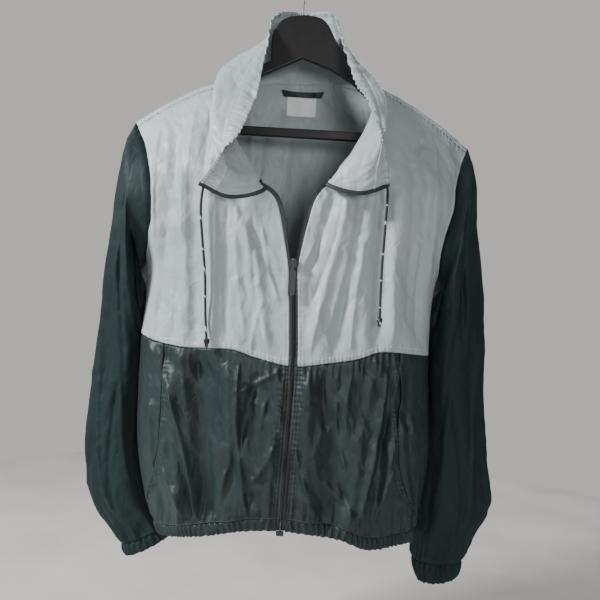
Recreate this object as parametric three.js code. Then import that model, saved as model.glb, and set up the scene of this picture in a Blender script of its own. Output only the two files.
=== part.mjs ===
import * as THREE from 'three';

// Windbreaker jacket on a hanger. Sizes in millimetres, +Z up. The front faces -Y and
// +X is to the right of the front view. The origin is the point where the hook is held.

// Cloth, seams and gaps
const CLOTH = 1.2;
const SEAM = 0.36;
const RIDGE_RADIUS = 9;
const SHOULDER_RISE = 150;
const SIDE_ROUNDNESS = 2.6;
const FORWARD_SHOULDER = 13;
const HEM_BAND = 17.5;
const BAND_GAP = 0.9;
const BAG_BEHIND = { left: 1.8, right: 2.9 };
const BAG = { top: -588, foot: -716, out: 8, in: -66, steps: 7 };
const PROBE = 0.5;

// Heights where panels meet the side edges and the zip
const UNDERARM_Z = -452;
const WAIST_Z = { left: -554, right: -567, side: -556, zip: -584 };
const HEM_Z = { left: -826, right: -814, zip: -790, band: -800 };

// Zip
const ZIP_CHAIN = 4.2;
const ZIP_TAPE = 3.0;
const ZIP_THICK = 1.4;
const ZIP_HALF = ZIP_CHAIN / 2 + ZIP_TAPE + 2 * SEAM;
const OPEN_TAPE = 5.2;
const TAPE_STEPS = 16;
const SLIDER_Z = -446;
const ZIP_FOOT_Z = -805.5;
const TAPE_FOOT_Z = -806;
const ZIP_BOX_DROP = 4;

// Cords
const CORD = 3.0;
const CORD_SIDES = 8;

// Colours
const PALE = 0xafbbba;
const DARK = 0x34423f;
const TAPE_GREY = 0x2f3a3a;
const BLACK = 0x0b0b0d;
const STEEL = 0x9a9c9e;
const CORD_GREY = 0x20262a;
const LABEL_WHITE = 0xd9dcdc;

// Body sections: side edges, how far front and back stand off the middle plane
const BODY = [
  { z: -60, left: -262, right: 282, front: 74, back: 58, middle: 0 },
  { z: -250, left: -256, right: 274, front: 82, back: 58, middle: 0 },
  { z: -330, left: -248, right: 268, front: 94, back: 58, middle: -1 },
  { z: -400, left: -228, right: 240, front: 92, back: 58, middle: -3 },
  { z: -452, left: -206, right: 217, front: 88, back: 57, middle: -5 },
  { z: -560, left: -207, right: 210, front: 86, back: 56, middle: -7 },
  { z: -640, left: -207, right: 214, front: 84, back: 55, middle: -8 },
  { z: -710, left: -204, right: 218, front: 82, back: 54, middle: -8 },
  { z: -780, left: -191, right: 210, front: 77, back: 52, middle: -8 },
  { z: -812, left: -180, right: 205, front: 72, back: 50, middle: -8 },
  { z: -850, left: -163, right: 200, front: 68, back: 48, middle: -8 },
];

// Ridge over the shoulders, carried on as a low dome across the open neck
const RIDGE = [
  { x: -262, z: -268 },
  { x: -235, z: -248 },
  { x: -187, z: -216 },
  { x: -144, z: -193 },
  { x: -112, z: -181 },
  { x: -60, z: -150 },
  { x: 4, z: -112 },
  { x: 62, z: -140 },
  { x: 112, z: -173 },
  { x: 148, z: -190 },
  { x: 202, z: -221 },
  { x: 252, z: -259 },
  { x: 282, z: -284 },
];

// Armhole edges on the front and the back, from the shoulder tip to the underarm
const ARMHOLES = {
  left: [
    { z: -248, front: -235, back: -235 },
    { z: -285, front: -214, back: -222 },
    { z: -326, front: -199, back: -213 },
    { z: -370, front: -193, back: -207 },
    { z: -424, front: -198, back: -205 },
    { z: -452, front: -206, back: -206 },
  ],
  right: [
    { z: -259, front: 252, back: 252 },
    { z: -285, front: 240, back: 242 },
    { z: -320, front: 231, back: 234 },
    { z: -360, front: 226, back: 228 },
    { z: -415, front: 213, back: 220 },
    { z: -452, front: 217, back: 217 },
  ],
};

// Seam between the pale and the dark cloth
const WAIST = [
  { x: -215, z: -554 },
  { x: -166, z: -565 },
  { x: -127, z: -568 },
  { x: -64, z: -567 },
  { x: -36, z: -575 },
  { x: 15, z: -584 },
  { x: 65, z: -577 },
  { x: 105, z: -569 },
  { x: 126, z: -561 },
  { x: 154, z: -559 },
  { x: 222, z: -567 },
];
const BACK_WAIST = [
  { x: -215, z: -554 },
  { x: 0, z: -562 },
  { x: 222, z: -567 },
];

// Lower edge of the hem band
const HEM = [
  { x: -190, z: -846 },
  { x: -167, z: -841 },
  { x: -130, z: -832 },
  { x: -92, z: -824 },
  { x: -43, z: -812 },
  { x: 8, z: -808 },
  { x: 50, z: -811 },
  { x: 92, z: -817 },
  { x: 128, z: -831 },
  { x: 180, z: -829 },
  { x: 206, z: -832 },
];
const BACK_HEM = [
  { x: -190, z: -846 },
  { x: -100, z: -838 },
  { x: 0, z: -834 },
  { x: 100, z: -836 },
  { x: 206, z: -832 },
];

// Centre of the closed zip
const ZIP_LINE = [
  { z: -446, x: 7.5 },
  { z: -510, x: 12 },
  { z: -584, x: 15.5 },
  { z: -700, x: 13 },
  { z: -830, x: 10 },
];

// Neck seam from the left front corner round the back to the right one: x, and the way
// down from the ridge (minus on the front)
const NECK = [
  { at: 0, x: -46, w: -201 },
  { at: 0.09, x: -66, w: -153 },
  { at: 0.18, x: -88, w: -97 },
  { at: 0.27, x: -104, w: -49 },
  { at: 0.34, x: -113, w: -13 },
  { at: 0.355, x: -112.5, w: -5 },
  { at: 0.37, x: -110, w: 2 },
  { at: 0.41, x: -90, w: 12 },
  { at: 0.455, x: -48, w: 25 },
  { at: 0.5, x: 4, w: 48 },
  { at: 0.545, x: 54, w: 27 },
  { at: 0.59, x: 90, w: 13 },
  { at: 0.63, x: 111, w: 2 },
  { at: 0.645, x: 113, w: -5 },
  { at: 0.66, x: 113, w: -13 },
  { at: 0.73, x: 106, w: -50 },
  { at: 0.82, x: 94, w: -97 },
  { at: 0.91, x: 76, w: -149 },
  { at: 1, x: 56, w: -197 },
];
const SHOULDER_AT = 0.34;
const BACK_NECK = [0.34, 0.355, 0.37, 0.4, 0.425, 0.45, 0.475, 0.5];
const BACK_STATIONS = [...BACK_NECK, ...BACK_NECK.slice(0, -1).reverse().map((at) => 1 - at)];

// Open zip edge of each front, from the neck corner to the slider
const OPENING = {
  left: [
    { along: 0, x: -46, z: -342 },
    { along: 0.08, x: -41.6, z: -348 },
    { along: 0.2, x: -31, z: -353 },
    { along: 0.36, x: -20.5, z: -363 },
    { along: 0.6, x: -12, z: -388 },
    { along: 0.84, x: -4, z: -424 },
    { along: 1, x: 2, z: -452 },
  ],
  right: [
    { along: 0, x: 56, z: -334 },
    { along: 0.08, x: 51.8, z: -340 },
    { along: 0.2, x: 42, z: -346 },
    { along: 0.36, x: 32.5, z: -361 },
    { along: 0.6, x: 25, z: -390 },
    { along: 0.84, x: 18.5, z: -424 },
    { along: 1, x: 13.8, z: -452 },
  ],
};

// Pocket seam of each front, from the waist seam to the side edge
const POCKETS = {
  left: [
    { z: -566, x: -163, slit: 0 },
    { z: -600, x: -162.5, slit: 0.15 },
    { z: -660, x: -163, slit: 0.2 },
    { z: -720, x: -167, slit: 0 },
    { z: -756, x: -172, slit: 0 },
    { z: -784, x: -184, slit: 0 },
  ],
  right: [
    { z: -559, x: 159.5, slit: 0 },
    { z: -596, x: 161, slit: 0.3 },
    { z: -625, x: 161.5, slit: 3.8 },
    { z: -655, x: 161.5, slit: 0.5 },
    { z: -720, x: 169, slit: 0 },
    { z: -756, x: 181, slit: 0 },
    { z: -784, x: 200, slit: 0 },
  ],
};

// Folds of the front: a line from its top to its foot, width, and depth (minus is a ridge)
const FRONT_FOLDS = [
  { x1: -134, z1: -340, x2: -118, z2: -560, width: 13, depth: 9 },
  { x1: -112, z1: -330, x2: -98, z2: -556, width: 9, depth: -7 },
  { x1: -75, z1: -360, x2: -8, z2: -480, width: 8, depth: 6 },
  { x1: -62, z1: -380, x2: -20, z2: -556, width: 9, depth: -5 },
  { x1: -165, z1: -300, x2: -172, z2: -540, width: 12, depth: 5 },
  { x1: 54, z1: -356, x2: 30, z2: -460, width: 6, depth: 6 },
  { x1: 74, z1: -352, x2: 40, z2: -545, width: 8, depth: -6 },
  { x1: 96, z1: -340, x2: 70, z2: -560, width: 9, depth: 6 },
  { x1: 128, z1: -330, x2: 124, z2: -548, width: 10, depth: 8 },
  { x1: 152, z1: -330, x2: 148, z2: -548, width: 12, depth: -6 },
  { x1: 186, z1: -320, x2: 182, z2: -530, width: 10, depth: 5 },
  { x1: -112, z1: -580, x2: -92, z2: -800, width: 14, depth: 12 },
  { x1: -72, z1: -585, x2: -60, z2: -800, width: 12, depth: -7 },
  { x1: -32, z1: -600, x2: -66, z2: -770, width: 7, depth: 6 },
  { x1: -150, z1: -600, x2: -128, z2: -815, width: 9, depth: -6 },
  { x1: -4, z1: -600, x2: -6, z2: -790, width: 8, depth: -5 },
  { x1: 34, z1: -600, x2: 44, z2: -795, width: 11, depth: -7 },
  { x1: 78, z1: -640, x2: 74, z2: -800, width: 14, depth: 10 },
  { x1: 122, z1: -590, x2: 100, z2: -800, width: 10, depth: -7 },
  { x1: 146, z1: -590, x2: 138, z2: -800, width: 8, depth: 7 },
  { x1: 190, z1: -600, x2: 186, z2: -800, width: 9, depth: -4 },
];
const BACK_FOLDS = [
  { x1: -150, z1: -300, x2: -140, z2: -820, width: 16, depth: -8 },
  { x1: -92, z1: -260, x2: -104, z2: -820, width: 13, depth: 7 },
  { x1: -30, z1: -300, x2: -44, z2: -815, width: 15, depth: -6 },
  { x1: 34, z1: -280, x2: 26, z2: -820, width: 14, depth: 6 },
  { x1: 92, z1: -270, x2: 84, z2: -815, width: 15, depth: -7 },
  { x1: 152, z1: -320, x2: 146, z2: -820, width: 14, depth: 7 },
];

// Sleeve sections: outer and inner point, half depth front to back, middle plane
const SLEEVES = {
  left: [
    { along: 0, ox: -235, oz: -248, ix: -206, iz: -452, half: 50, middle: -6 },
    { along: 0.04, ox: -241, oz: -268, ix: -211, iz: -458, half: 54, middle: -5 },
    { along: 0.1, ox: -246, oz: -300, ix: -215, iz: -468, half: 57, middle: -2 },
    { along: 0.2, ox: -256, oz: -356, ix: -214, iz: -488, half: 59, middle: 3 },
    { along: 0.32, ox: -267, oz: -436, ix: -208, iz: -530, half: 58, middle: 15 },
    { along: 0.46, ox: -276, oz: -540, ix: -202, iz: -592, half: 51, middle: 28 },
    { along: 0.6, ox: -284, oz: -640, ix: -200, iz: -665, half: 49, middle: 31 },
    { along: 0.74, ox: -288, oz: -735, ix: -196, iz: -742, half: 47, middle: 33 },
    { along: 0.85, ox: -280, oz: -796, ix: -186, iz: -790, half: 43, middle: 36 },
    { along: 0.95, ox: -254, oz: -848, ix: -168, iz: -829, half: 36, middle: 38 },
    { along: 1, ox: -230, oz: -879, ix: -160, iz: -846, half: 29, middle: 38 },
  ],
  right: [
    { along: 0, ox: 252, oz: -259, ix: 217, iz: -452, half: 50, middle: -6 },
    { along: 0.04, ox: 257, oz: -280, ix: 222, iz: -458, half: 54, middle: -5 },
    { along: 0.1, ox: 263, oz: -310, ix: 226, iz: -468, half: 57, middle: -2 },
    { along: 0.2, ox: 272, oz: -362, ix: 223, iz: -488, half: 57, middle: 9 },
    { along: 0.32, ox: 286, oz: -440, ix: 215, iz: -530, half: 54, middle: 21 },
    { along: 0.46, ox: 297, oz: -540, ix: 207, iz: -592, half: 51, middle: 28 },
    { along: 0.6, ox: 303, oz: -630, ix: 208, iz: -660, half: 49, middle: 31 },
    { along: 0.74, ox: 310, oz: -715, ix: 213, iz: -730, half: 46, middle: 31 },
    { along: 0.85, ox: 313, oz: -788, ix: 208, iz: -788, half: 42, middle: 29 },
    { along: 0.95, ox: 299, oz: -836, ix: 209, iz: -836, half: 36, middle: 23 },
    { along: 1, ox: 282, oz: -868, ix: 210, iz: -869, half: 29, middle: 20 },
  ],
};
const CUFFS = {
  left: [
    { along: 0, ox: -229.5, oz: -879.3, ix: -160.1, iz: -846.6, half: 28.7, middle: 38 },
    { along: 0.5, ox: -226, oz: -889, ix: -158, iz: -855, half: 28, middle: 38 },
    { along: 1, ox: -220, oz: -897, ix: -156, iz: -862, half: 27, middle: 38 },
  ],
  right: [
    { along: 0, ox: 281.7, oz: -868.5, ix: 210.3, iz: -869.5, half: 28.7, middle: 20 },
    { along: 0.5, ox: 280, oz: -881, ix: 213, iz: -884, half: 28, middle: 20 },
    { along: 1, ox: 277, oz: -892, ix: 219, iz: -902, half: 27, middle: 20 },
  ],
};
// Sleeve folds: turn round the tube in degrees (0 outside, 90 front), start and end along it
const SLEEVE_FOLDS = [
  { turn: 62, from: 0.06, to: 0.9, lean: -18, width: 15, depth: 6 },
  { turn: 108, from: 0.12, to: 0.97, lean: 12, width: 13, depth: -5 },
  { turn: 150, from: 0.15, to: 0.8, lean: 0, width: 16, depth: 6 },
  { turn: 28, from: 0.3, to: 0.96, lean: 14, width: 14, depth: -4 },
  { turn: 250, from: 0.1, to: 0.95, lean: 12, width: 18, depth: 6 },
  { turn: 305, from: 0.15, to: 0.95, lean: -10, width: 16, depth: -5 },
];

// Collar sections along the neck seam: the roll above the seam, the middle, the top edge
const COLLAR = [
  { at: 0, rx: -38, ry: -107, rz: -350, mx: -80, my: -116, mz: -363, ex: -118, ey: -109, ez: -350 },
  { at: 0.08, rx: -50, ry: -106, rz: -326, mx: -72, my: -122, mz: -334, ex: -101, ey: -118, ez: -327 },
  { at: 0.15, rx: -76, ry: -99, rz: -296, mx: -92, my: -118, mz: -308, ex: -86, ey: -124, ez: -304 },
  { at: 0.22, rx: -102, ry: -80, rz: -262, mx: -110, my: -103, mz: -278, ex: -72, ey: -112, ez: -286 },
  { at: 0.28, rx: -109, ry: -61, rz: -226, mx: -110, my: -84, mz: -236, ex: -62, ey: -97, ez: -254 },
  { at: 0.34, rx: -112, ry: -26, rz: -178, mx: -99, my: -50, mz: -178, ex: -53, ey: -70, ez: -208 },
  { at: 0.385, rx: -95, ry: 4, rz: -153, mx: -60, my: -12, mz: -126, ex: -48, ey: -32, ez: -134 },
  { at: 0.44, rx: -60, ry: 34, rz: -142, mx: -47, my: 30, mz: -94, ex: -38, ey: 16, ez: -70 },
  { at: 0.5, rx: 4, ry: 58, rz: -132, mx: 3, my: 62, mz: -90, ex: 2, ey: 54, ez: -50 },
  { at: 0.56, rx: 66, ry: 34, rz: -138, mx: 54, my: 30, mz: -92, ex: 44, ey: 16, ez: -66 },
  { at: 0.615, rx: 98, ry: 4, rz: -155, mx: 70, my: -12, mz: -126, ex: 58, ey: -30, ez: -124 },
  { at: 0.66, rx: 114, ry: -24, rz: -178, mx: 108, my: -50, mz: -182, ex: 76, ey: -66, ez: -188 },
  { at: 0.72, rx: 118, ry: -56, rz: -218, mx: 121, my: -84, mz: -232, ex: 93, ey: -92, ez: -222 },
  { at: 0.78, rx: 104, ry: -84, rz: -252, mx: 120, my: -104, mz: -264, ex: 106, ey: -108, ez: -260 },
  { at: 0.85, rx: 84, ry: -102, rz: -290, mx: 106, my: -118, mz: -298, ex: 117, ey: -116, ez: -292 },
  { at: 0.92, rx: 62, ry: -107, rz: -318, mx: 94, my: -120, mz: -328, ex: 123, ey: -114, ez: -314 },
  { at: 1, rx: 48, ry: -107, rz: -340, mx: 88, my: -115, mz: -350, ex: 128, ey: -107, ez: -336 },
];

// Free cords: route from the eyelet to the knot
const CORDS = {
  left: [
    { x: -110.2, y: -110.5, z: -344.5 },
    { x: -115, y: -105.6, z: -354 },
    { x: -117, y: -103, z: -385 },
    { x: -112, y: -101, z: -430 },
    { x: -107, y: -99, z: -470 },
    { x: -104, y: -97, z: -520 },
    { x: -101, y: -96, z: -552 },
  ],
  right: [
    { x: 121, y: -107, z: -333.5 },
    { x: 126, y: -104, z: -346 },
    { x: 126, y: -103, z: -385 },
    { x: 125, y: -101, z: -430 },
    { x: 125, y: -99, z: -470 },
    { x: 126, y: -97, z: -510 },
  ],
};
const KNOTS = {
  left: { x: -100.4, y: -96, z: -558, radius: 3.8, half: 5.5 },
  right: { x: 126, y: -97, z: -517.5, radius: 4.2, half: 7 },
};

// Hanger
const HANGER_HALF_DEPTH = 4.5;
const HANGER_BEVEL = 1.6;
const ARM_DROP = CLOTH + 5.4;
const ARM_DEEP = 13;
const NECK_DIP = 5;
const BAR_TOP = -247;
const HANGER_TIPS = { left: -226, right: 243 };
const WINDOW_INSET = { left: 30, right: 42 };
const HOOK_RADIUS = 1.8;
const HOOK_SIDES = 10;

const HANGER_DOME = [
  { x: -41, z: -146 },
  { x: -41, z: -116 },
  { x: -37, z: -101 },
  { x: -24, z: -86 },
  { x: -2, z: -79.5 },
  { x: 26, z: -83 },
  { x: 40, z: -103 },
  { x: 52, z: -121 },
  { x: 66, z: -134 },
  { x: 70, z: -150 },
];
const HANGER_FOOT = [
  { x: 247.5, z: -265 },
  { x: 245, z: -271 },
  { x: 236, z: -272 },
  { x: 212, z: -258 },
  { x: 198, z: -256 },
  { x: -190, z: -256 },
  { x: -208, z: -258 },
  { x: -221, z: -263 },
  { x: -229, z: -261 },
  { x: -231, z: -255 },
];
const WINDOW_NECK = [
  { x: -20, z: -151 },
  { x: 3, z: -138 },
  { x: 44, z: -152 },
];
const WINDOW_STEP = 28;
const DOME_FOOT = 14;
const HOOK_PATH = [
  { x: 0, z: -77.5 },
  { x: 0, z: -60 },
  { x: 2, z: -50 },
  { x: 12, z: -43 },
  { x: 21, z: -33 },
  { x: 24, z: -20 },
  { x: 18, z: -5 },
  { x: 0, z: 1.8 },
  { x: -17, z: -5 },
  { x: -24, z: -21 },
  { x: -23, z: -30 },
];

// Gathers of the elastic, and the pull tab
const CUFF_GATHERS = 16;
const CUFF_RIPPLE = 1.3;
const HEM_GATHERS = 44;
const HEM_RIPPLE = 1.4;
const BAND_START = 0.5;
const BAND_END = 1;
const BAND_SLOPE = 0.4;
const BAND_HOLE = new THREE.Vector3(12, -8, 0);
const SLIDER_DEEP = 3.6;
const BRIDGE_DEEP = 1.8;
const PULL_GAP = 0.6;
const PULL_WIDE = 9;
const PULL_NECK = 4.4;
const PULL_LONG = 44;
const PULL_THICK = 2;

const clamp = (value, low, high) => Math.min(high, Math.max(low, value));
const mix = (a, b, t) => a + (b - a) * t;
const smooth = (t) => t * t * (3 - 2 * t);
const bell = (distance, width) => Math.exp(-((distance / width) ** 2));

// Smooth value of one column of a table at a place between its rows
function column(table, key, name, at) {
  const last = table.length - 1;
  const rising = table[last][key] > table[0][key];
  let i = 0;
  while (i < last - 1 && (rising ? at > table[i + 1][key] : at < table[i + 1][key])) i += 1;
  const slope = (a, b) => (table[b][name] - table[a][name]) / (table[b][key] - table[a][key]);
  const span = table[i + 1][key] - table[i][key];
  const t = clamp((at - table[i][key]) / span, 0, 1);
  const here = slope(i, i + 1);
  const first = i > 0 ? (slope(i - 1, i) + here) / 2 : here;
  const second = i < last - 1 ? (here + slope(i + 1, i + 2)) / 2 : here;
  const t2 = t * t;
  const t3 = t2 * t;
  return table[i][name] * (2 * t3 - 3 * t2 + 1) + table[i + 1][name] * (3 * t2 - 2 * t3)
    + span * (first * (t3 - 2 * t2 + t) + second * (t3 - t2));
}

const ridge = (x) => column(RIDGE, 'x', 'z', x);
const leftEdge = (z) => column(BODY, 'z', 'left', z);
const rightEdge = (z) => column(BODY, 'z', 'right', z);
const waist = (x) => column(WAIST, 'x', 'z', x);
const hem = (x) => column(HEM, 'x', 'z', x);
const backHem = (x) => column(BACK_HEM, 'x', 'z', x);
const zipLine = (z) => column(ZIP_LINE, 'z', 'x', z);

// How far a point stands from the middle of the body towards its side edge, 0 to 1
function sideways(x, z) {
  const left = leftEdge(z);
  const right = rightEdge(z);
  return Math.abs(x - (left + right) / 2) / ((right - left) / 2);
}

// Height of all folds at a point, faded out towards the side edges and the ridge
function folds(x, z, face) {
  const table = face < 0 ? FRONT_FOLDS : BACK_FOLDS;
  let height = 0;
  for (const fold of table) {
    const t = (z - fold.z1) / (fold.z2 - fold.z1);
    const inside = clamp(Math.min(t, 1 - t) / 0.22 + 0.5, 0, 1);
    if (inside > 0) {
      const line = mix(fold.x1, fold.x2, clamp(t, -0.2, 1.2));
      height += fold.depth * smooth(inside) * bell(x - line, fold.width);
    }
  }
  const side = clamp((1 - sideways(x, z)) / 0.16, 0, 1);
  const top = clamp((ridge(x) - z) / 60, 0, 1);
  return -face * height * smooth(side) * smooth(top);
}

// Square of the distance from the middle plane, below zero outside the cloth
function depthSquared(x, z, face) {
  const reach = column(BODY, 'z', face < 0 ? 'front' : 'back', z);
  const section = reach * reach * (1 - sideways(x, z) ** SIDE_ROUNDNESS);
  const drop = ridge(x) - z;
  const r = RIDGE_RADIUS;
  const cap = drop < r ? 2 * r * drop - drop * drop * Math.sign(Math.max(drop, 0)) : r * r;
  const rise = SHOULDER_RISE * (face < 0 ? 1 : 0.55);
  const grown = clamp(drop / rise, 0, 1);
  return cap + (section - r * r) * (1 - (1 - grown) ** 2) ** 1.5;
}

function bodyPoint(x, z, face) {
  const middle = column(BODY, 'z', 'middle', z);
  const depth = Math.max(Math.sqrt(Math.max(depthSquared(x, z, face), 0)), SEAM / 2);
  return new THREE.Vector3(x, middle + face * depth + folds(x, z, face), z);
}

function bodyNormal(x, z, face) {
  const out = face * Math.sqrt(Math.max(depthSquared(x, z, face), 0));
  const h = PROBE;
  const squareX = (depthSquared(x + h, z, face) - depthSquared(x - h, z, face)) / (2 * h);
  const squareZ = (depthSquared(x, z + h, face) - depthSquared(x, z - h, face)) / (2 * h);
  const foldX = (folds(x + h, z, face) - folds(x - h, z, face)) / (2 * h);
  const foldZ = (folds(x, z + h, face) - folds(x, z - h, face)) / (2 * h);
  return new THREE.Vector3(-2 * out * foldX - squareX, 2 * out, -2 * out * foldZ - squareZ).normalize();
}

// Closed wall between a grid of outer points and the same grid moved in
function wallFrom(rows, inner, looped) {
  const high = rows.length;
  const wide = rows[0].length;
  const positions = [];
  const index = [];
  for (const grid of [rows, inner]) {
    for (const row of grid) {
      for (const point of row) positions.push(point.x, point.y, point.z);
    }
  }
  const at = (layer, j, i) => layer * high * wide + j * wide + (i % wide);
  const quad = (a, b, c, d) => index.push(a, b, c, a, c, d);
  const across = looped ? wide : wide - 1;
  for (let j = 0; j < high - 1; j += 1) {
    for (let i = 0; i < across; i += 1) {
      quad(at(0, j, i), at(0, j, i + 1), at(0, j + 1, i + 1), at(0, j + 1, i));
      quad(at(1, j, i), at(1, j + 1, i), at(1, j + 1, i + 1), at(1, j, i + 1));
    }
  }
  for (let i = 0; i < across; i += 1) {
    quad(at(1, 0, i), at(1, 0, i + 1), at(0, 0, i + 1), at(0, 0, i));
    quad(at(0, high - 1, i), at(0, high - 1, i + 1), at(1, high - 1, i + 1), at(1, high - 1, i));
  }
  if (!looped) {
    for (let j = 0; j < high - 1; j += 1) {
      quad(at(0, j, 0), at(0, j + 1, 0), at(1, j + 1, 0), at(1, j, 0));
      quad(at(1, j, wide - 1), at(1, j + 1, wide - 1), at(0, j + 1, wide - 1), at(0, j, wide - 1));
    }
  }
  return closedGeometry(positions, index);
}

// Geometry with its faces turned outwards
function closedGeometry(positions, index) {
  let volume = 0;
  const corner = (k) => new THREE.Vector3().fromArray(positions, index[k] * 3);
  for (let k = 0; k < index.length; k += 3) {
    volume += corner(k).dot(corner(k + 1).clone().cross(corner(k + 2)));
  }
  if (volume < 0) {
    for (let k = 0; k < index.length; k += 3) [index[k], index[k + 1]] = [index[k + 1], index[k]];
  }
  const geometry = new THREE.BufferGeometry();
  geometry.setAttribute('position', new THREE.Float32BufferAttribute(positions, 3));
  geometry.setIndex(index);
  geometry.computeVertexNormals();
  return geometry;
}

// Directions out of a grid of points, turned to the side of the given point outwards
function gridNormals(rows, looped, outwards) {
  const high = rows.length;
  const wide = rows[0].length;
  let sum = 0;
  const normals = rows.map((row, j) => row.map((point, i) => {
    const before = looped ? row[(i - 1 + wide) % wide] : row[Math.max(i - 1, 0)];
    const after = looped ? row[(i + 1) % wide] : row[Math.min(i + 1, wide - 1)];
    const above = rows[Math.max(j - 1, 0)][i];
    const below = rows[Math.min(j + 1, high - 1)][i];
    const normal = after.clone().sub(before).cross(below.clone().sub(above)).normalize();
    sum += normal.dot(outwards(point, j));
    return normal;
  }));
  if (sum < 0) normals.forEach((row) => row.forEach((normal) => normal.negate()));
  return normals;
}

const movedIn = (rows, normals, depth) => rows.map(
  (row, j) => row.map((point, i) => point.clone().addScaledVector(normals[j][i], -depth)),
);


const steps = (count) => Array.from({ length: count + 1 }, (_, k) => k / count);
const degrees = (angle) => (angle * Math.PI) / 180;

const group = new THREE.Group();
function add(name, geometry, colour, roughness = 0.55) {
  const mesh = new THREE.Mesh(geometry, new THREE.MeshStandardMaterial({ color: colour, roughness }));
  mesh.name = name;
  group.add(mesh);
}

// Grid of body places between four edge curves; the side curves are eased onto the corners
function between(top, foot, left, right, across, down) {
  const ease = (curve, t, start, end) => {
    const here = curve(t);
    const first = curve(0);
    const last = curve(1);
    return [0, 1].map((k) => here[k] + (1 - t) * (start[k] - first[k]) + t * (end[k] - last[k]));
  };
  const corner = { a: top(0), b: top(1), c: foot(0), d: foot(1) };
  return down.map((t) => {
    const start = ease(left, t, corner.a, corner.c);
    const end = ease(right, t, corner.b, corner.d);
    return across.map((s) => {
      const high = top(s);
      const low = foot(s);
      return [0, 1].map((k) => mix(start[k], end[k], s) + mix(high[k], low[k], t)
        - mix(mix(corner.a[k], corner.b[k], s), mix(corner.c[k], corner.d[k], s), t));
    });
  });
}

// Wall of a panel whose places are x and z on one face of the body
function faceWall(grid, face, lift = 0, thick = CLOTH) {
  const normals = grid.map((row) => row.map(([x, z]) => bodyNormal(x, z, face)));
  const rows = grid.map((row, j) => row.map(([x, z], i) => (
    bodyPoint(x, z, face).addScaledVector(normals[j][i], -lift))));
  return wallFrom(rows, movedIn(rows, normals, thick), false);
}

// Place on the body by x and the way down from the ridge, minus on the front
const overRidge = (x, w) => [x, ridge(x) - Math.abs(w), w < 0 ? -1 : 1];
const neckPlace = (at) => [column(NECK, 'at', 'x', at), column(NECK, 'at', 'w', at)];

// Armhole stations: turn round the sleeve in degrees, 0 at the tip and 180 at the underarm
const tipOf = (side) => ARMHOLES[side][0];
const underOf = (side) => ARMHOLES[side][ARMHOLES[side].length - 1];
function armholeHeight(side, turn) {
  return mix(tipOf(side).z, underOf(side).z, (1 - Math.cos(degrees(turn))) / 2);
}
// Height where the forward shoulder seam meets the armhole
function seamHeight(side) {
  let z = tipOf(side).z - FORWARD_SHOULDER;
  for (let k = 0; k < 20; k += 1) z = ridge(column(ARMHOLES[side], 'z', 'front', z)) - FORWARD_SHOULDER;
  return z;
}
function seamTurn(side) {
  const share = (tipOf(side).z - seamHeight(side)) / (tipOf(side).z - underOf(side).z);
  return (Math.acos(1 - 2 * share) * 180) / Math.PI;
}
const FRONT_ROWS = 10;
const BACK_ROWS = 9;
const NECK_STEPS = 9;
const OPEN_STEPS = 5;
const CLOSED_STEPS = 4;
const FRONT_STEPS = NECK_STEPS + OPEN_STEPS + CLOSED_STEPS;
const SHOULDER_STEPS = 5;
const RIDGE_ROWS = 2;
const BELOW_ROWS = 5;

// Side of an upper front: armhole to the underarm in the first half, then the side edge
function frontSide(side, foot) {
  const edge = side === 'left' ? leftEdge : rightEdge;
  return (t) => {
    if (t <= 0.5) {
      const z = armholeHeight(side, mix(seamTurn(side), 180, t * 2));
      return [column(ARMHOLES[side], 'z', 'front', z), z];
    }
    const z = mix(underOf(side).z, foot, t * 2 - 1);
    return [edge(z), z];
  };
}

// Upper fronts: shoulder seam above, waist seam below, armhole outside, neck and zip inside
function upperFront(side) {
  const sign = side === 'left' ? -1 : 1;
  const neckStart = neckPlace(side === 'left' ? SHOULDER_AT : 1 - SHOULDER_AT);
  const tip = column(ARMHOLES[side], 'z', 'front', seamHeight(side));
  const top = (s) => {
    const x = mix(tip, neckStart[0], s);
    return [x, ridge(x) - FORWARD_SHOULDER - SEAM / 2];
  };
  const edge = side === 'left' ? leftEdge : rightEdge;
  const outer = edge(WAIST[side === 'left' ? 0 : WAIST.length - 1].z);
  const inner = zipLine(WAIST_Z.zip) + sign * ZIP_HALF;
  const foot = (s) => {
    const x = mix(outer, inner, s);
    return [x, waist(x) + SEAM / 2];
  };
  const right = (t) => {
    const k = t * FRONT_STEPS;
    if (k <= NECK_STEPS) {
      const at = SHOULDER_AT * (1 - k / NECK_STEPS);
      const [x, w] = neckPlace(side === 'left' ? at : 1 - at);
      return [x, ridge(x) + w];
    }
    const along = (k - NECK_STEPS) / OPEN_STEPS;
    if (along <= 1) return ['x', 'z'].map((name) => column(OPENING[side], 'along', name, along));
    const z = mix(UNDERARM_Z, foot(1)[1], (along - 1) * (OPEN_STEPS / CLOSED_STEPS));
    return [zipLine(z) + sign * ZIP_HALF, z];
  };
  const grid = between(top, foot, frontSide(side, foot(0)[1]), right,
    steps(16), steps(FRONT_STEPS));
  add(`front_upper_${side}`, faceWall(grid, -1), PALE);
}

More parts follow.
